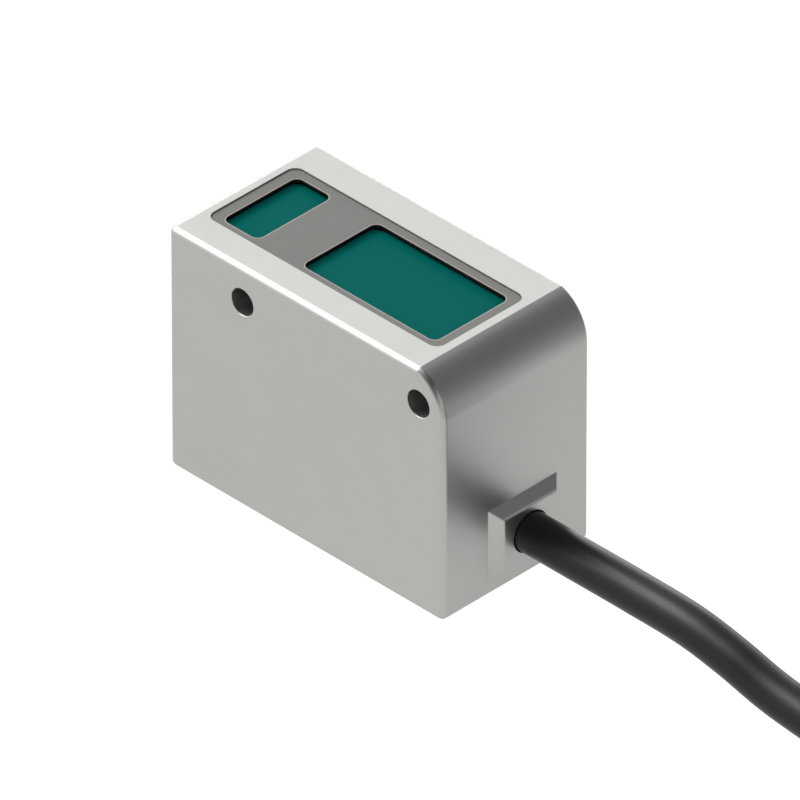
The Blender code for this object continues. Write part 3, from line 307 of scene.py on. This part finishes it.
def makeCamera(settings):
    azimuth = math.radians(settings["azimuth"])
    elevation = math.radians(settings["elevation"])
    back = Vector((math.sin(azimuth) * math.cos(elevation), -math.cos(azimuth) * math.cos(elevation),
                   math.sin(elevation)))
    data = bpy.data.cameras.new("camera")
    data.lens = settings["lens"]
    made = newObject("camera", data)
    made.location = (Vector(settings["lookAt"]) + back * settings["distance"]) * mm
    turnTo(made, -back)
    bpy.context.scene.camera = made


makeCamera(camera)
print("camera made")


# Cable: from the ferrule inside, out of the boss, down and along to the hank

cable = {
    "radius": 2.55,
    "exit": (23.3, 1.15, 7.0),
    "inside": 15.0,  # x where it begins, in the housing
    "drop": [(30.0, 7.0), (40.0, 7.0), (48.5, 6.8), (55.0, 5.8), (61.0, 4.4), (65.5, 3.75), (70.5, 3.38)],
    "realLength": 2000.0,
    "pointGap": 0.8,  # along the run to the hank
    "sides": 24,
}
hank = {
    "middle": (105.0, 21.95),
    "straight": 49.0,
    "innerTurn": 15.5,
    "pitch": 5.3,
    "lastLayer": 4,  # counted from 0
    "bottom": 0.7,
    "step": 0.14,  # of a turn, for a move to the other column or the next layer
    "pointsPerTurn": 96,
    "leastPoints": 6,  # in one move
    "tailRadius": 15.2,
    "tailTurns": 0.65,
}
tie = {"width": 6.0, "thickness": 0.5, "slack": 0.2, "cornerRound": 2.4, "cornerSteps": 6,
       "lap": 22.0, "lapSunk": 0.05, "lapRound": 2.8}
leads = {
    "radius": 0.45,
    "sides": 12,
    "circle": 1.45,  # of their middles in the cable
    "pitch": 1.1,
    "length": 40.0,
    "points": 41,
    "stripped": 4.0,
    "fallShare": 0.45,
    "rest": 22.35,  # height of their middles where they lie
    "hidden": 0.6,  # inside the jacket's end
    "strands": 6,  # round a middle one
    "strandRadius": 0.11,
    "strandSides": 8,
    "strandSpread": 2.05,  # radii from the middle strand's line to the others'
    "strandTwist": 2.5,  # mm for one turn
}


def eased(share):
    return 2 * share * share if share < 0.5 else 1 - 2 * (1 - share) ** 2


def hankLap():
    fold = math.pi * (hank["innerTurn"] + hank["pitch"] / 2)
    return fold, 2 * (hank["straight"] + fold)


def layerHeight(layer):
    return hank["bottom"] + cable["radius"] + layer * hank["pitch"]


def onHank(turns, radius, height):
    # A place on a turn: front run, right fold, back run, left fold.
    fold, lap = hankLap()
    along = turns % 1.0 * lap
    side = 1 if along < lap / 2 else -1
    along -= 0 if side > 0 else lap / 2
    straight = hank["straight"]
    end = straight / 2
    if along < straight:
        x, y = along - end, -radius
    else:
        angle = math.pi * ((along - straight) / fold - 0.5)
        x, y = end + radius * math.cos(angle), radius * math.sin(angle)
    return Vector((hank["middle"][0] + side * x, hank["middle"][1] + side * y, height))


def smoothLine(knots, step):
    # Catmull-Rom through the knots, about one step between points.
    padded = [2 * knots[0] - knots[1]] + knots + [2 * knots[-1] - knots[-2]]
    line = []
    for a, b, c, d in zip(padded, padded[1:], padded[2:], padded[3:]):
        count = max(1, round((c - b).length / step))
        for i in range(count):
            t = i / count
            line.append(0.5 * (2 * b + (c - a) * t + (2 * a - 5 * b + 4 * c - d) * t * t
                               + (3 * b - a - 3 * c + d) * t ** 3))
    return line + [knots[-1]]


def windings():
    # Each move is (turns, column, next column, layer, next layer), with column 0 inside. No move
    # lies over or beside another at the same place on the turn, so no two turns meet.
    step = hank["step"]
    hold = 1 - 2 * step
    moves = [(1 - step, 1, 1, 0, 0), (step, 1, 0, 0, 0), (hold, 0, 0, 0, 0), (step, 0, 0, 0, 1)]
    for layer, first in ((1, 0), (2, 1), (3, 0)):
        second = 1 - first
        moves += [(hold, first, first, layer, layer), (step, first, second, layer, layer),
                  (hold, second, second, layer, layer), (step, second, second, layer, layer + 1)]
    last = hank["lastLayer"]
    moves.append((hold, 1, 1, last, last))
    columns = [hank["innerTurn"], hank["innerTurn"] + hank["pitch"]]
    legs = [(turns, columns[a], columns[b], layerHeight(low), layerHeight(high))
            for turns, a, b, low, high in moves]
    tail, top = hank["tailRadius"], layerHeight(last)
    legs += [(step, columns[1], tail, top, top), (hank["tailTurns"], tail, tail, top, top)]
    line = []
    done = 0.0
    for turns, r0, r1, z0, z1 in legs:
        count = max(hank["leastPoints"], round(turns * hank["pointsPerTurn"]))
        for i in range(count):
            share = eased(i / count)
            line.append(onHank(done + turns * i / count, r0 + (r1 - r0) * share,
                               z0 + (z1 - z0) * share))
        done += turns
    line.append(onHank(done, tail, top))
    return line, done


def tubeCurve(name, lines, radius, finish, sides):
    data = bpy.data.curves.new(name, "CURVE")
    data.dimensions = "3D"
    data.bevel_depth = radius * mm
    data.bevel_resolution = sides // 2 - 2  # Blender makes twice this and four more sides
    data.use_fill_caps = True
    for line in lines:
        spline = data.splines.new("POLY")
        spline.points.add(len(line) - 1)
        spline.use_smooth = True
        for point, place in zip(spline.points, line):
            point.co = (*(place * mm), 1.0)
    data.materials.append(finish)
    made = newObject(name, data)
    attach(made, "root")
    return made


def makeTie():
    # A strap round the waist of both runs, its end lapped over on top.
    away = cable["radius"] + tie["slack"] + tie["thickness"] / 2
    reach = hank["innerTurn"] + hank["pitch"] + away
    low, high = layerHeight(0) - away, layerHeight(hank["lastLayer"]) + away
    x, y = hank["middle"]
    start = x - tie["width"] / 2
    shape = bmesh.new()
    corners = [shape.verts.new((start, y + side * reach, z))
               for side, z in ((-1, low), (1, low), (1, high), (-1, high))]
    for pair in zip(corners, corners[1:] + corners[:1]):
        shape.edges.new(pair)
    bmesh.ops.bevel(shape, geom=corners, offset=tie["cornerRound"], segments=tie["cornerSteps"],
                    profile=0.5, affect="VERTICES", material=-1)
    grown = bmesh.ops.extrude_edge_only(shape, edges=shape.edges[:])
    far = [v for v in grown["geom"] if isinstance(v, bmesh.types.BMVert)]
    bmesh.ops.translate(shape, verts=far, vec=(tie["width"], 0, 0))
    bmesh.ops.recalc_face_normals(shape, faces=shape.faces)
    bmesh.ops.solidify(shape, geom=shape.faces[:], thickness=tie["thickness"])
    bmesh.ops.recalc_face_normals(shape, faces=shape.faces)
    top = max(v.co.z for v in shape.verts)
    made = newPiece("cable_strap", shape, material["loopTape"])
    lap = roundedBox((start, y - tie["lap"] / 2, top - tie["lapSunk"]),
                     (start + tie["width"], y + tie["lap"] / 2, top + tie["thickness"]),
                     tie["lapRound"], "Z")
    carve(made, lap, "UNION")
    finishShading(made)
    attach(made, "root")
    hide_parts("hank_tie")
    return made


def bundlePlace(number):
    angle = math.pi / 2 + 2 * math.pi * number / len(leadColours)
    return leads["circle"] * math.cos(angle), leads["circle"] * math.sin(angle)


def leadOrder(number):
    side, rise = bundlePlace(number)
    return round(side, 3), rise


def makeLead(rank, number, start):
    # One lead comes down from its place in the bundle to lie beside the others.
    colour = list(leadColours)[number]
    side, rise = bundlePlace(number)
    middle = (len(leadColours) - 1) / 2
    top = layerHeight(hank["lastLayer"])
    line = []
    steps = leads["points"] - 1
    for i in range(leads["points"]):
        share = i / steps
        blend = eased(min(1.0, share / leads["fallShare"]))
        across = side * (1 - blend) + (rank - middle) * leads["pitch"] * blend
        height = (top + rise) * (1 - blend) + leads["rest"] * blend
        turns = start + leads["length"] * share / hankLap()[1]
        line.append(onHank(turns, hank["tailRadius"] + across, height))
    bare = round(steps * (1 - leads["stripped"] / leads["length"]))
    skin = tubeCurve(f"lead_{colour}", [line[:bare + 1]], leads["radius"],
                     material[f"lead_{colour}"], leads["sides"])
    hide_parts(f"flying_lead_{colour}")
    core = line[bare - 1:]
    strands = [core]
    spread = leads["strandSpread"] * leads["strandRadius"]
    for k in range(leads["strands"]):
        twisted = []
        run = 0.0
        for i, point in enumerate(core):
            ahead = core[min(i + 1, len(core) - 1)] - core[max(i - 1, 0)]
            aside = Vector((-ahead.y, ahead.x, 0)).normalized()
            turn = 2 * math.pi * (k / leads["strands"] + run / leads["strandTwist"])
            offset = aside * math.cos(turn) + Vector((0, 0, 1)) * math.sin(turn)
            twisted.append(point + spread * offset)
            run += (core[min(i + 1, len(core) - 1)] - point).length
        strands.append(twisted)
    end = tubeCurve(f"strands_{colour}", strands, leads["strandRadius"], material["tinnedCopper"],
                    leads["strandSides"])


def makeCable():
    depth = cable["exit"][1]
    knots = [Vector((cable["inside"], depth, cable["exit"][2])), Vector(cable["exit"])]
    knots += [Vector((x, depth, z)) for x, z in cable["drop"]]
    wound, end = windings()
    line = smoothLine(knots + [wound[0]], cable["pointGap"])[:-1] + wound
    made = tubeCurve("sensor_cable", [line], cable["radius"], material["pvcJacket"], cable["sides"])
    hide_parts("cable", "cable_hank", "cable_tail")
    strap = makeTie()
    start = end - leads["hidden"] / hankLap()[1]
    for rank, number in enumerate(sorted(range(len(leadColours)), key=leadOrder)):
        makeLead(rank, number, start)


makeCable()
print("cable, hank, strap and leads made")


# Cast housing and its rear cover

shell = {
    "left": -22.0, "right": 22.0, "front": -11.7, "back": 11.7, "height": 33.2,
    "cornerRadius": 6.0,  # the large rounding over the cable end
    "cornerDrop": 5.7,  # from the top face to its middle, so that it meets the top in a faint crease
    "cornerSteps": 24,
    "edgeRound": 0.8,
    "backRound": 0.4,  # smaller, clear of the cover's seat
    "edgeSteps": 6,
    "roundFrom": 40.0,  # degrees between two faces, for their edge to be rounded
    "wall": 2.4,
    "roof": 28.2,
    "cavityRound": 0.8,
    "cavitySteps": 4,
    "seat": 9.1,  # y of the rim that the gasket lies on
    "rim": 1.0,
    "coverInner": 10.1,
    "coverInset": 1.2,
    "coverEdge": 0.3,
    "posts": [(-18.0, 4.0), (18.0, 4.0)],
    "postRadius": 2.2,
    "postLength": 4.2,
    "bores": [(-10.1, 28.5), (18.1, 28.5)],
    "boreRadius": 1.75,
    "boreSteps": 64,
    "boreFlare": 0.12,
    "boreFlareSteps": 3,
    "pillarRadius": 3.0,
    "smoothAngle": 16.5,  # rounds turn 15 degrees a step or less, the crease 18 degrees
}
boss = {"middle": (1.15, 7.0), "width": 11.1, "tall": 9.7, "height": 1.3,  # off the face
        "tipRound": 0.3, "tipSteps": 5, "ridgeRound": 0.15, "ridgeSteps": 3,
        "holeRadius": 2.63, "holeFlare": 0.1, "holeSteps": 64, "sealRadius": 4.4, "sealEnd": 21.4}
screws = {"places": [(-18.0, 4.0), (18.0, 4.0), (-18.0, 29.7), (10.8, 29.7)], "headRadius": 1.7,
          "headRim": 0.15, "shankRadius": 0.8, "length": 3.9, "sunk": 0.1, "gap": 0.2,
          "socketRadius": 0.75, "socketDepth": 0.6, "socketSides": 6, "edge": 0.08, "smoothAngle": 25}


def sideShape(inset, near, far):
    # The outline seen from the front, from one depth to another.
    radius = shell["cornerRadius"] - inset
    full = shell["height"] - shell["cornerDrop"] + radius
    shape = boxShape((shell["left"] + inset, near, inset), (shell["right"] - inset, far, full))
    corner = [e for e in shape.edges if all(v.co.x > 0 and v.co.z > full / 2 for v in e.verts)]
    roundEdges(shape, corner, radius, shell["cornerSteps"])
    parts = shape.verts[:] + shape.edges[:] + shape.faces[:]
    bmesh.ops.bisect_plane(shape, geom=parts, plane_co=(0, 0, shell["height"] - inset), plane_no=(0, 0, 1),
                           clear_outer=True)
    bmesh.ops.edgeloop_fill(shape, edges=[e for e in shape.edges if e.is_boundary])
    bmesh.ops.recalc_face_normals(shape, faces=shape.faces)
    return shape


def roundAll(shape, width, segments):
    least = math.radians(shell["roundFrom"])
    sharp = [e for e in shape.edges if e.calc_face_angle(0) > least]
    return roundEdges(shape, sharp, width, segments)


def rod(axis, u, v, radius, start, end, segments=48):
    profile = [(0, start), (radius, start), (radius, end), (0, end)]
    place = {"X": alongX(0, u, v), "Y": alongY(u, 0, v), "Z": Matrix.Translation((u, v, 0))}[axis]
    return turned(profile, place, segments)


def bossShape():
    y, z = boss["middle"]
    half, tall = boss["width"] / 2, boss["tall"] / 2
    side = shell["right"]
    shape = boxShape((side - shell["wall"] / 2, y - half, z - tall), (side, y + half, z + tall))
    outer = max(shape.faces, key=lambda face: face.calc_center_median().x)
    bmesh.ops.inset_individual(shape, faces=[outer], thickness=boss["height"], depth=boss["height"],
                               use_even_offset=True)
    roundEdges(shape, edgesAt(shape, "X", side + boss["height"]), boss["tipRound"], boss["tipSteps"])
    ridges = [e for e in shape.edges if any(abs(v.co.x - side) < touch for v in e.verts)
              and any(v.co.x > side + touch for v in e.verts)]
    return roundEdges(shape, ridges, boss["ridgeRound"], boss["ridgeSteps"])


def boreShape(x, z):
    # A through bore whose mouths in the front face and the cover are slightly rounded.
    r, flare = shell["boreRadius"], shell["boreFlare"]
    near, far = shell["front"], shell["back"]
    turns = [math.pi / 2 * i / shell["boreFlareSteps"] for i in range(shell["boreFlareSteps"] + 1)]
    mouth = [(r + flare * (1 - math.sin(a)), flare * (1 - math.cos(a))) for a in turns]
    profile = [(0, near - past), (r + flare, near - past),
               *((wide, near + deep) for wide, deep in mouth),
               *((wide, far - deep) for wide, deep in reversed(mouth)),
               (r + flare, far + past), (0, far + past)]
    return turned(profile, alongY(x, 0, z), shell["boreSteps"])


def sinkShape(x, z):
    # Countersink and tap for one cover screw.
    head = screws["headRadius"] + screws["gap"]
    shank = screws["shankRadius"] + screws["gap"]
    rim = -screws["gap"]
    end = -screws["length"] - screws["gap"]
    profile = [(0, past), (head, past), (head, rim), (shank, rim - head + shank), (shank, end), (0, end)]
    return turned(profile, alongY(x, shell["back"], z))


def outlineBox(window, grow, low, high, segments=8):
    # An upright rounded box over a window's or the bezel's outline, grown on all sides.
    (x0, x1), (y0, y1), radius = window
    return roundedBox((x0 - grow, y0 - grow, low), (x1 + grow, y1 + grow, high), radius + grow, "Z",
                      segments)


bezel = {
    "outline": ((-20.35, 16.7), (-7.3, 7.0), 1.3),
    "top": 33.0,
    "thickness": 1.2,
    "lip": 0.3,
    "gap": 0.2,
    "seam": 0.025,
    "emitter": ((-18.8, -13.1), (-6.25, 5.7), 1.0),
    "receiver": ((-6.0, 15.3), (-6.25, 5.7), 1.0),
    "lap": 0.45,
    "pocketFloor": 30.6,
    "ledge": 0.8,
    "glassSunk": 0.45,  # of the glass below the lip
    "glassEdge": 0.1,
    "glassSteps": 2,
    "rimWidth": 0.2,
    "rimDepth": 0.03,
    "topEdge": 0.1,
    "topSteps": 3,
    "cornerSteps": 12,
}


def makeHousing():
    s = shell
    wall = s["wall"]
    block = sideShape(0, s["front"], s["back"])
    roundEdges(block, edgesAt(block, "Y", s["back"]), s["backRound"], s["edgeSteps"])
    body = newPiece("cast_body", roundAll(block, s["edgeRound"], s["edgeSteps"]),
                    material["satinZinc"])
    carve(body, bossShape(), "UNION")
    cavity = boxShape((s["left"] + wall, s["front"] + wall, wall),
                      (s["right"] - wall, s["back"] + wall, s["roof"]))
    carve(body, roundAll(cavity, s["cavityRound"], s["cavitySteps"]))
    start = s["front"] + wall / 2
    for x, z in s["bores"]:
        carve(body, rod("Y", x, z, s["pillarRadius"], start, s["coverInner"]), "UNION")
    for x, z in s["posts"]:
        carve(body, rod("Y", x, z, s["postRadius"], s["seat"] - s["postLength"], s["coverInner"]), "UNION")
    carve(body, sideShape(s["rim"], s["seat"], s["back"] + wall))
    above = s["height"] + wall
    floor = bezel["top"] - bezel["thickness"] - bezel["gap"]
    carve(body, outlineBox(bezel["outline"], bezel["seam"], floor, above))
    for name in ("emitter", "receiver"):
        carve(body, outlineBox(bezel[name], bezel["lap"] + bezel["gap"], bezel["pocketFloor"], above))
    carve(body, outlineBox(bezel["receiver"], -bezel["ledge"], s["roof"] - wall, above))
    (x0, x1), (y0, y1), _ = bezel["emitter"]
    carve(body, rod("Z", (x0 + x1) / 2, (y0 + y1) / 2, (x1 - x0) / 2 - bezel["ledge"],
                    s["roof"] - wall, above))
    for x, z in s["bores"]:
        carve(body, boreShape(x, z))
    for x, z in screws["places"]:
        carve(body, sinkShape(x, z))
    y, z = boss["middle"]
    tip = s["right"] + boss["height"]
    r, flare = boss["holeRadius"], boss["holeFlare"]
    inside = s["right"] - 2 * wall
    hole = [(0, inside), (r, inside), (r, tip - flare), (r + flare, tip), (r + flare, tip + past),
            (0, tip + past)]
    carve(body, turned(hole, alongX(0, y, z), boss["holeSteps"]))
    carve(body, rod("X", y, z, boss["sealRadius"], inside, boss["sealEnd"], boss["holeSteps"]))
    finishShading(body, s["smoothAngle"])
    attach(body, "root")
    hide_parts("housing")


def makeCover():
    s = shell
    plate = sideShape(s["coverInset"], s["coverInner"], s["back"])
    roundEdges(plate, edgesAt(plate, "Y", s["back"]), s["coverEdge"], s["edgeSteps"])
    cover = newPiece("back_plate", plate, material["satinZinc"])
    for x, z in s["bores"]:
        carve(cover, boreShape(x, z))
    for x, z in screws["places"]:
        carve(cover, sinkShape(x, z))
    finishShading(cover, s["smoothAngle"])
    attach(cover, "root")
    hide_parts("rear_cover")


def makeCoverScrew(number, x, z):
    # Countersunk, with a hexagon socket; the rims of head and socket are broken.
    head, shank, edge = screws["headRadius"], screws["shankRadius"], screws["edge"]
    cone = screws["headRim"] + head - shank
    profile = [(0, 0), (head - edge, 0), (head, -edge), (head, -screws["headRim"]), (shank, -cone),
               (shank, -screws["length"] + edge), (shank - edge, -screws["length"]), (0, -screws["length"])]
    place = alongY(x, shell["back"] - screws["sunk"], z)
    made = newPiece(f"countersunk_screw_{number}", turned(profile, place), material["stainless"])
    depth, wide = screws["socketDepth"], screws["socketRadius"]
    socket = [(0, -depth), (wide, -depth), (wide, -edge), (wide + edge, 0), (wide + edge, past),
              (0, past)]
    carve(made, turned(socket, place, screws["socketSides"]))
    finishShading(made, screws["smoothAngle"])
    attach(made, "root")
    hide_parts(f"cover_screw_{number}")


def makeBezel():
    # Grey plate let into the top face. Its lip laps over both windows; the walls of its openings are
    # black as painted shade, and a narrow pale step round each opening is a painted highlight of its edge.
    top = bezel["top"]
    step = top - bezel["rimDepth"]
    below = top - 2 * bezel["thickness"]
    steps = bezel["cornerSteps"]
    shape = outlineBox(bezel["outline"], 0, top - bezel["thickness"], top, steps)
    roundEdges(shape, edgesAt(shape, "Z", top), bezel["topEdge"], bezel["topSteps"])
    made = newPiece("window_frame", shape, material["mouldedGrey"])
    for name in ("emitter", "receiver"):
        carve(made, outlineBox(bezel[name], bezel["lap"] + bezel["gap"], below, top - bezel["lip"]))
        carve(made, outlineBox(bezel[name], 0, below, top + past, steps))
        carve(made, outlineBox(bezel[name], bezel["rimWidth"], step, top + past, steps))
    made.data.materials.append(material["openingShadeBlack"])
    made.data.materials.append(material["openingEdgeHighlight"])
    black, pale = 1, 2  # slots after the grey one
    near = bezel["lap"] + 2 * bezel["gap"]
    for face in made.data.polygons:
        middle = face.center / mm
        inside = any(x0 - near < middle.x < x1 + near and y0 - near < middle.y < y1 + near
                     for (x0, x1), (y0, y1), _ in (bezel["emitter"], bezel["receiver"]))
        # Painted shade: faces of the opening walls take the black slot.
        if inside and middle.z < step - bezel["rimDepth"] / 2:
            face.material_index = black
        # Painted highlight: faces of the step round each opening take the pale slot.
        elif inside and middle.z < top - bezel["rimDepth"] / 4:
            face.material_index = pale
    finishShading(made)
    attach(made, "root")
    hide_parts("window_bezel")


def makeWindow(name):
    # Filter glass in its seat under the bezel's lip, its upper edge broken.
    low, high = (Vector(corner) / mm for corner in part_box(f"{name}_window"))
    corner = bezel[name][2] + bezel["lap"]
    top = high.z - bezel["glassSunk"]
    shape = roundedBox(low, (high.x, high.y, top), corner, "Z")
    roundEdges(shape, edgesAt(shape, "Z", top), bezel["glassEdge"], bezel["glassSteps"])
    made = newPiece(f"filter_glass_{name}", shape, material["tealFilter"])
    finishShading(made)
    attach(made, "root")
    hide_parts(f"{name}_window")


makeHousing()
makeCover()
for number, place in enumerate(screws["places"], 1):
    makeCoverScrew(number, *place)
makeBezel()
for name in ("emitter", "receiver"):
    makeWindow(name)
print("housing, cover, screws, bezel and windows made")


# Floor, world and lamps

studio = {
    "floorColour": "#A0A09E",
    "floorReach": 4000.0,
    "floorWhiteShare": 0.85,  # of the floor as the camera sees it
    "floorWhite": 1.2,
    "floorGlossyShare": 0.43,  # gloss sees the floor fade out on the right
    "floorNear": 50.0,
    "floorFar": 175.0,
    "floorDim": 0.3,
    "plainLevel": 0.6,  # of the world, for what it lights
    "glossLevel": 1.14,  # of the world, for gloss
    # Where gloss looks: a dark studio corner above and behind on the right, two dark patches in front
    # on the right, a soft box above on the left and a low one behind on the left
    "lobes": [
        {"towards": (0.55, 0.577, 0.6), "inner": 12.0, "outer": 72.0, "change": -0.96},
        {"towards": (0.3, -0.8, 0.52), "inner": 26.0, "outer": 48.0, "change": -1.0},
        {"towards": (0.3, -0.3, 0.9), "inner": 20.0, "outer": 44.0, "change": -0.55},
        {"towards": (-0.66, -0.28, 0.7), "inner": 22.0, "outer": 40.0, "change": 1.5},
        {"towards": (-0.7, 0.7, -0.05), "inner": 14.0, "outer": 30.0, "change": 2.0},
    ],
    "lamps": [
        {"name": "key", "from": (-0.58, -0.3, 0.76), "distance": 0.7, "size": 0.45, "power": 2.0,
         "mirrored": True},
        {"name": "fill", "from": (0.2, -0.3, 0.95), "distance": 0.8, "size": 0.7, "power": 1.2,
         "mirrored": False},
    ],
    "reflectors": [
        # Between the sensor and the hank: keeps the hank out of the large rounding
        {"name": "small reflector", "middle": (53.5, 15.5, 18.5), "facing": (-1.0, -1.0, 0.0),
         "size": (24.0, 17.0), "level": 0.31},
        # Flat on the floor behind: brightens the upright edge at the back
        {"name": "floor reflector", "middle": (0.0, 44.0, 0.4), "facing": (0.0, 0.0, 1.0),
         "size": (40.0, 56.0), "level": 0.9},
    ],
}


def makeFloor(settings):
    made, tree = newMaterial("paleCard")  # matt card, white to the camera where no shadow falls
    path = addNode(tree, "ShaderNodeLightPath").outputs
    place = addNode(tree, "ShaderNodeTexCoord").outputs["Object"]
    across = addNode(tree, "ShaderNodeSeparateXYZ", None, {0: place}).outputs["X"]
    card = addNode(tree, "ShaderNodeBsdfPrincipled", {"Base Color": hexColour(settings["floorColour"]),
                                                      "Roughness": 0.9, "Specular IOR Level": 0.1})
    white = addNode(tree, "ShaderNodeEmission", {"Strength": settings["floorWhite"]})
    seen = addNode(tree, "ShaderNodeMath", {"operation": "MAXIMUM"},
                   {0: path["Is Camera Ray"], 1: path["Is Transmission Ray"]})
    seenShare = addNode(tree, "ShaderNodeMath", {"operation": "MULTIPLY", 1: settings["floorWhiteShare"]},
                        {0: seen.outputs[0]})
    mirrored = addNode(tree, "ShaderNodeMath", {"operation": "MULTIPLY", 1: settings["floorGlossyShare"]},
                       {0: path["Is Glossy Ray"]})
    share = addNode(tree, "ShaderNodeMath", {"operation": "MAXIMUM"},
                    {0: seenShare.outputs[0], 1: mirrored.outputs[0]})
    lit = addNode(tree, "ShaderNodeMixShader", None,
                  {0: share.outputs[0], 1: card.outputs[0], 2: white.outputs[0]})
    away = addNode(tree, "ShaderNodeMapRange",
                   {"interpolation_type": "SMOOTHSTEP", "From Min": settings["floorNear"] * mm,
                    "From Max": settings["floorFar"] * mm}, {"Value": across})
    fade = addNode(tree, "ShaderNodeMath", {"operation": "MULTIPLY"},
                   {0: away.outputs["Result"], 1: path["Is Glossy Ray"]})
    dim = addNode(tree, "ShaderNodeEmission", {"Strength": settings["floorDim"]})
    mix = addNode(tree, "ShaderNodeMixShader", None,
                  {0: fade.outputs[0], 1: lit.outputs[0], 2: dim.outputs[0]})
    addNode(tree, "ShaderNodeOutputMaterial", None, {"Surface": mix.outputs[0]})
    shape = bmesh.new()
    bmesh.ops.create_grid(shape, x_segments=1, y_segments=1, size=settings["floorReach"])
    floor = newPiece("floor", shape, made)


def addLobe(tree, ray, level, lobe):
    # Adds the lobe's change to a level, fading from its inner to its outer angle.
    towards = Vector(lobe["towards"]).normalized()
    facing = addNode(tree, "ShaderNodeVectorMath", {"operation": "DOT_PRODUCT", 1: towards}, {0: ray})
    change = addNode(tree, "ShaderNodeMapRange",
                     {"interpolation_type": "SMOOTHSTEP",
                      "From Min": math.cos(math.radians(lobe["outer"])),
                      "From Max": math.cos(math.radians(lobe["inner"])),
                      "To Min": 0.0, "To Max": lobe["change"]},
                     {"Value": facing.outputs["Value"]})
    total = addNode(tree, "ShaderNodeMath", {"operation": "ADD"},
                    {0: level, 1: change.outputs["Result"]})
    return total.outputs[0]


def makeWorld(settings):
    world = bpy.data.worlds.new("studio")
    bpy.context.scene.world = world
    world.use_nodes = True
    tree = world.node_tree
    tree.nodes.clear()
    path = addNode(tree, "ShaderNodeLightPath").outputs
    ray = addNode(tree, "ShaderNodeTexCoord").outputs["Generated"]
    start = addNode(tree, "ShaderNodeMath", {"operation": "ADD", 0: settings["glossLevel"], 1: 0.0})
    level = start.outputs[0]
    for lobe in settings["lobes"]:
        level = addLobe(tree, ray, level, lobe)
    seen = addNode(tree, "ShaderNodeMath", {"operation": "MAXIMUM"},
                   {0: path["Is Camera Ray"], 1: path["Is Transmission Ray"]})
    mirror = addNode(tree, "ShaderNodeMix", {"data_type": "FLOAT", 2: settings["plainLevel"]},
                     {0: path["Is Glossy Ray"], 3: level})
    strength = addNode(tree, "ShaderNodeMath", {"operation": "MAXIMUM"},
                       {0: seen.outputs[0], 1: mirror.outputs[0]})
    sky = addNode(tree, "ShaderNodeBackground", None, {"Strength": strength.outputs[0]})
    addNode(tree, "ShaderNodeOutputWorld", None, {"Surface": sky.outputs[0]})


def makeLamps(settings):
    aim = Vector(camera["lookAt"]) * mm
    for lamp in settings["lamps"]:
        data = bpy.data.lights.new(lamp["name"], "AREA")
        data.shape = "DISK"
        data.size = lamp["size"]
        data.energy = lamp["power"]
        made = newObject(lamp["name"], data)
        away = Vector(lamp["from"]).normalized()
        made.location = aim + away * lamp["distance"]
        turnTo(made, -away)
        made.visible_glossy = lamp["mirrored"]


def makeReflector(settings):
    width, height = (side * mm for side in settings["size"])
    data = bpy.data.lights.new(settings["name"], "AREA")
    data.shape = "RECTANGLE"
    data.size, data.size_y = width, height
    data.energy = math.pi * width * height * settings["level"]
    made = newObject(settings["name"], data)
    made.location = Vector(settings["middle"]) * mm
    turnTo(made, Vector(settings["facing"]))
    made.visible_camera = False


makeFloor(studio)
makeWorld(studio)
makeLamps(studio)
for reflector in studio["reflectors"]:
    makeReflector(reflector)
bpy.context.scene.view_settings.view_transform = "Standard"
print("floor, world and lamps made")
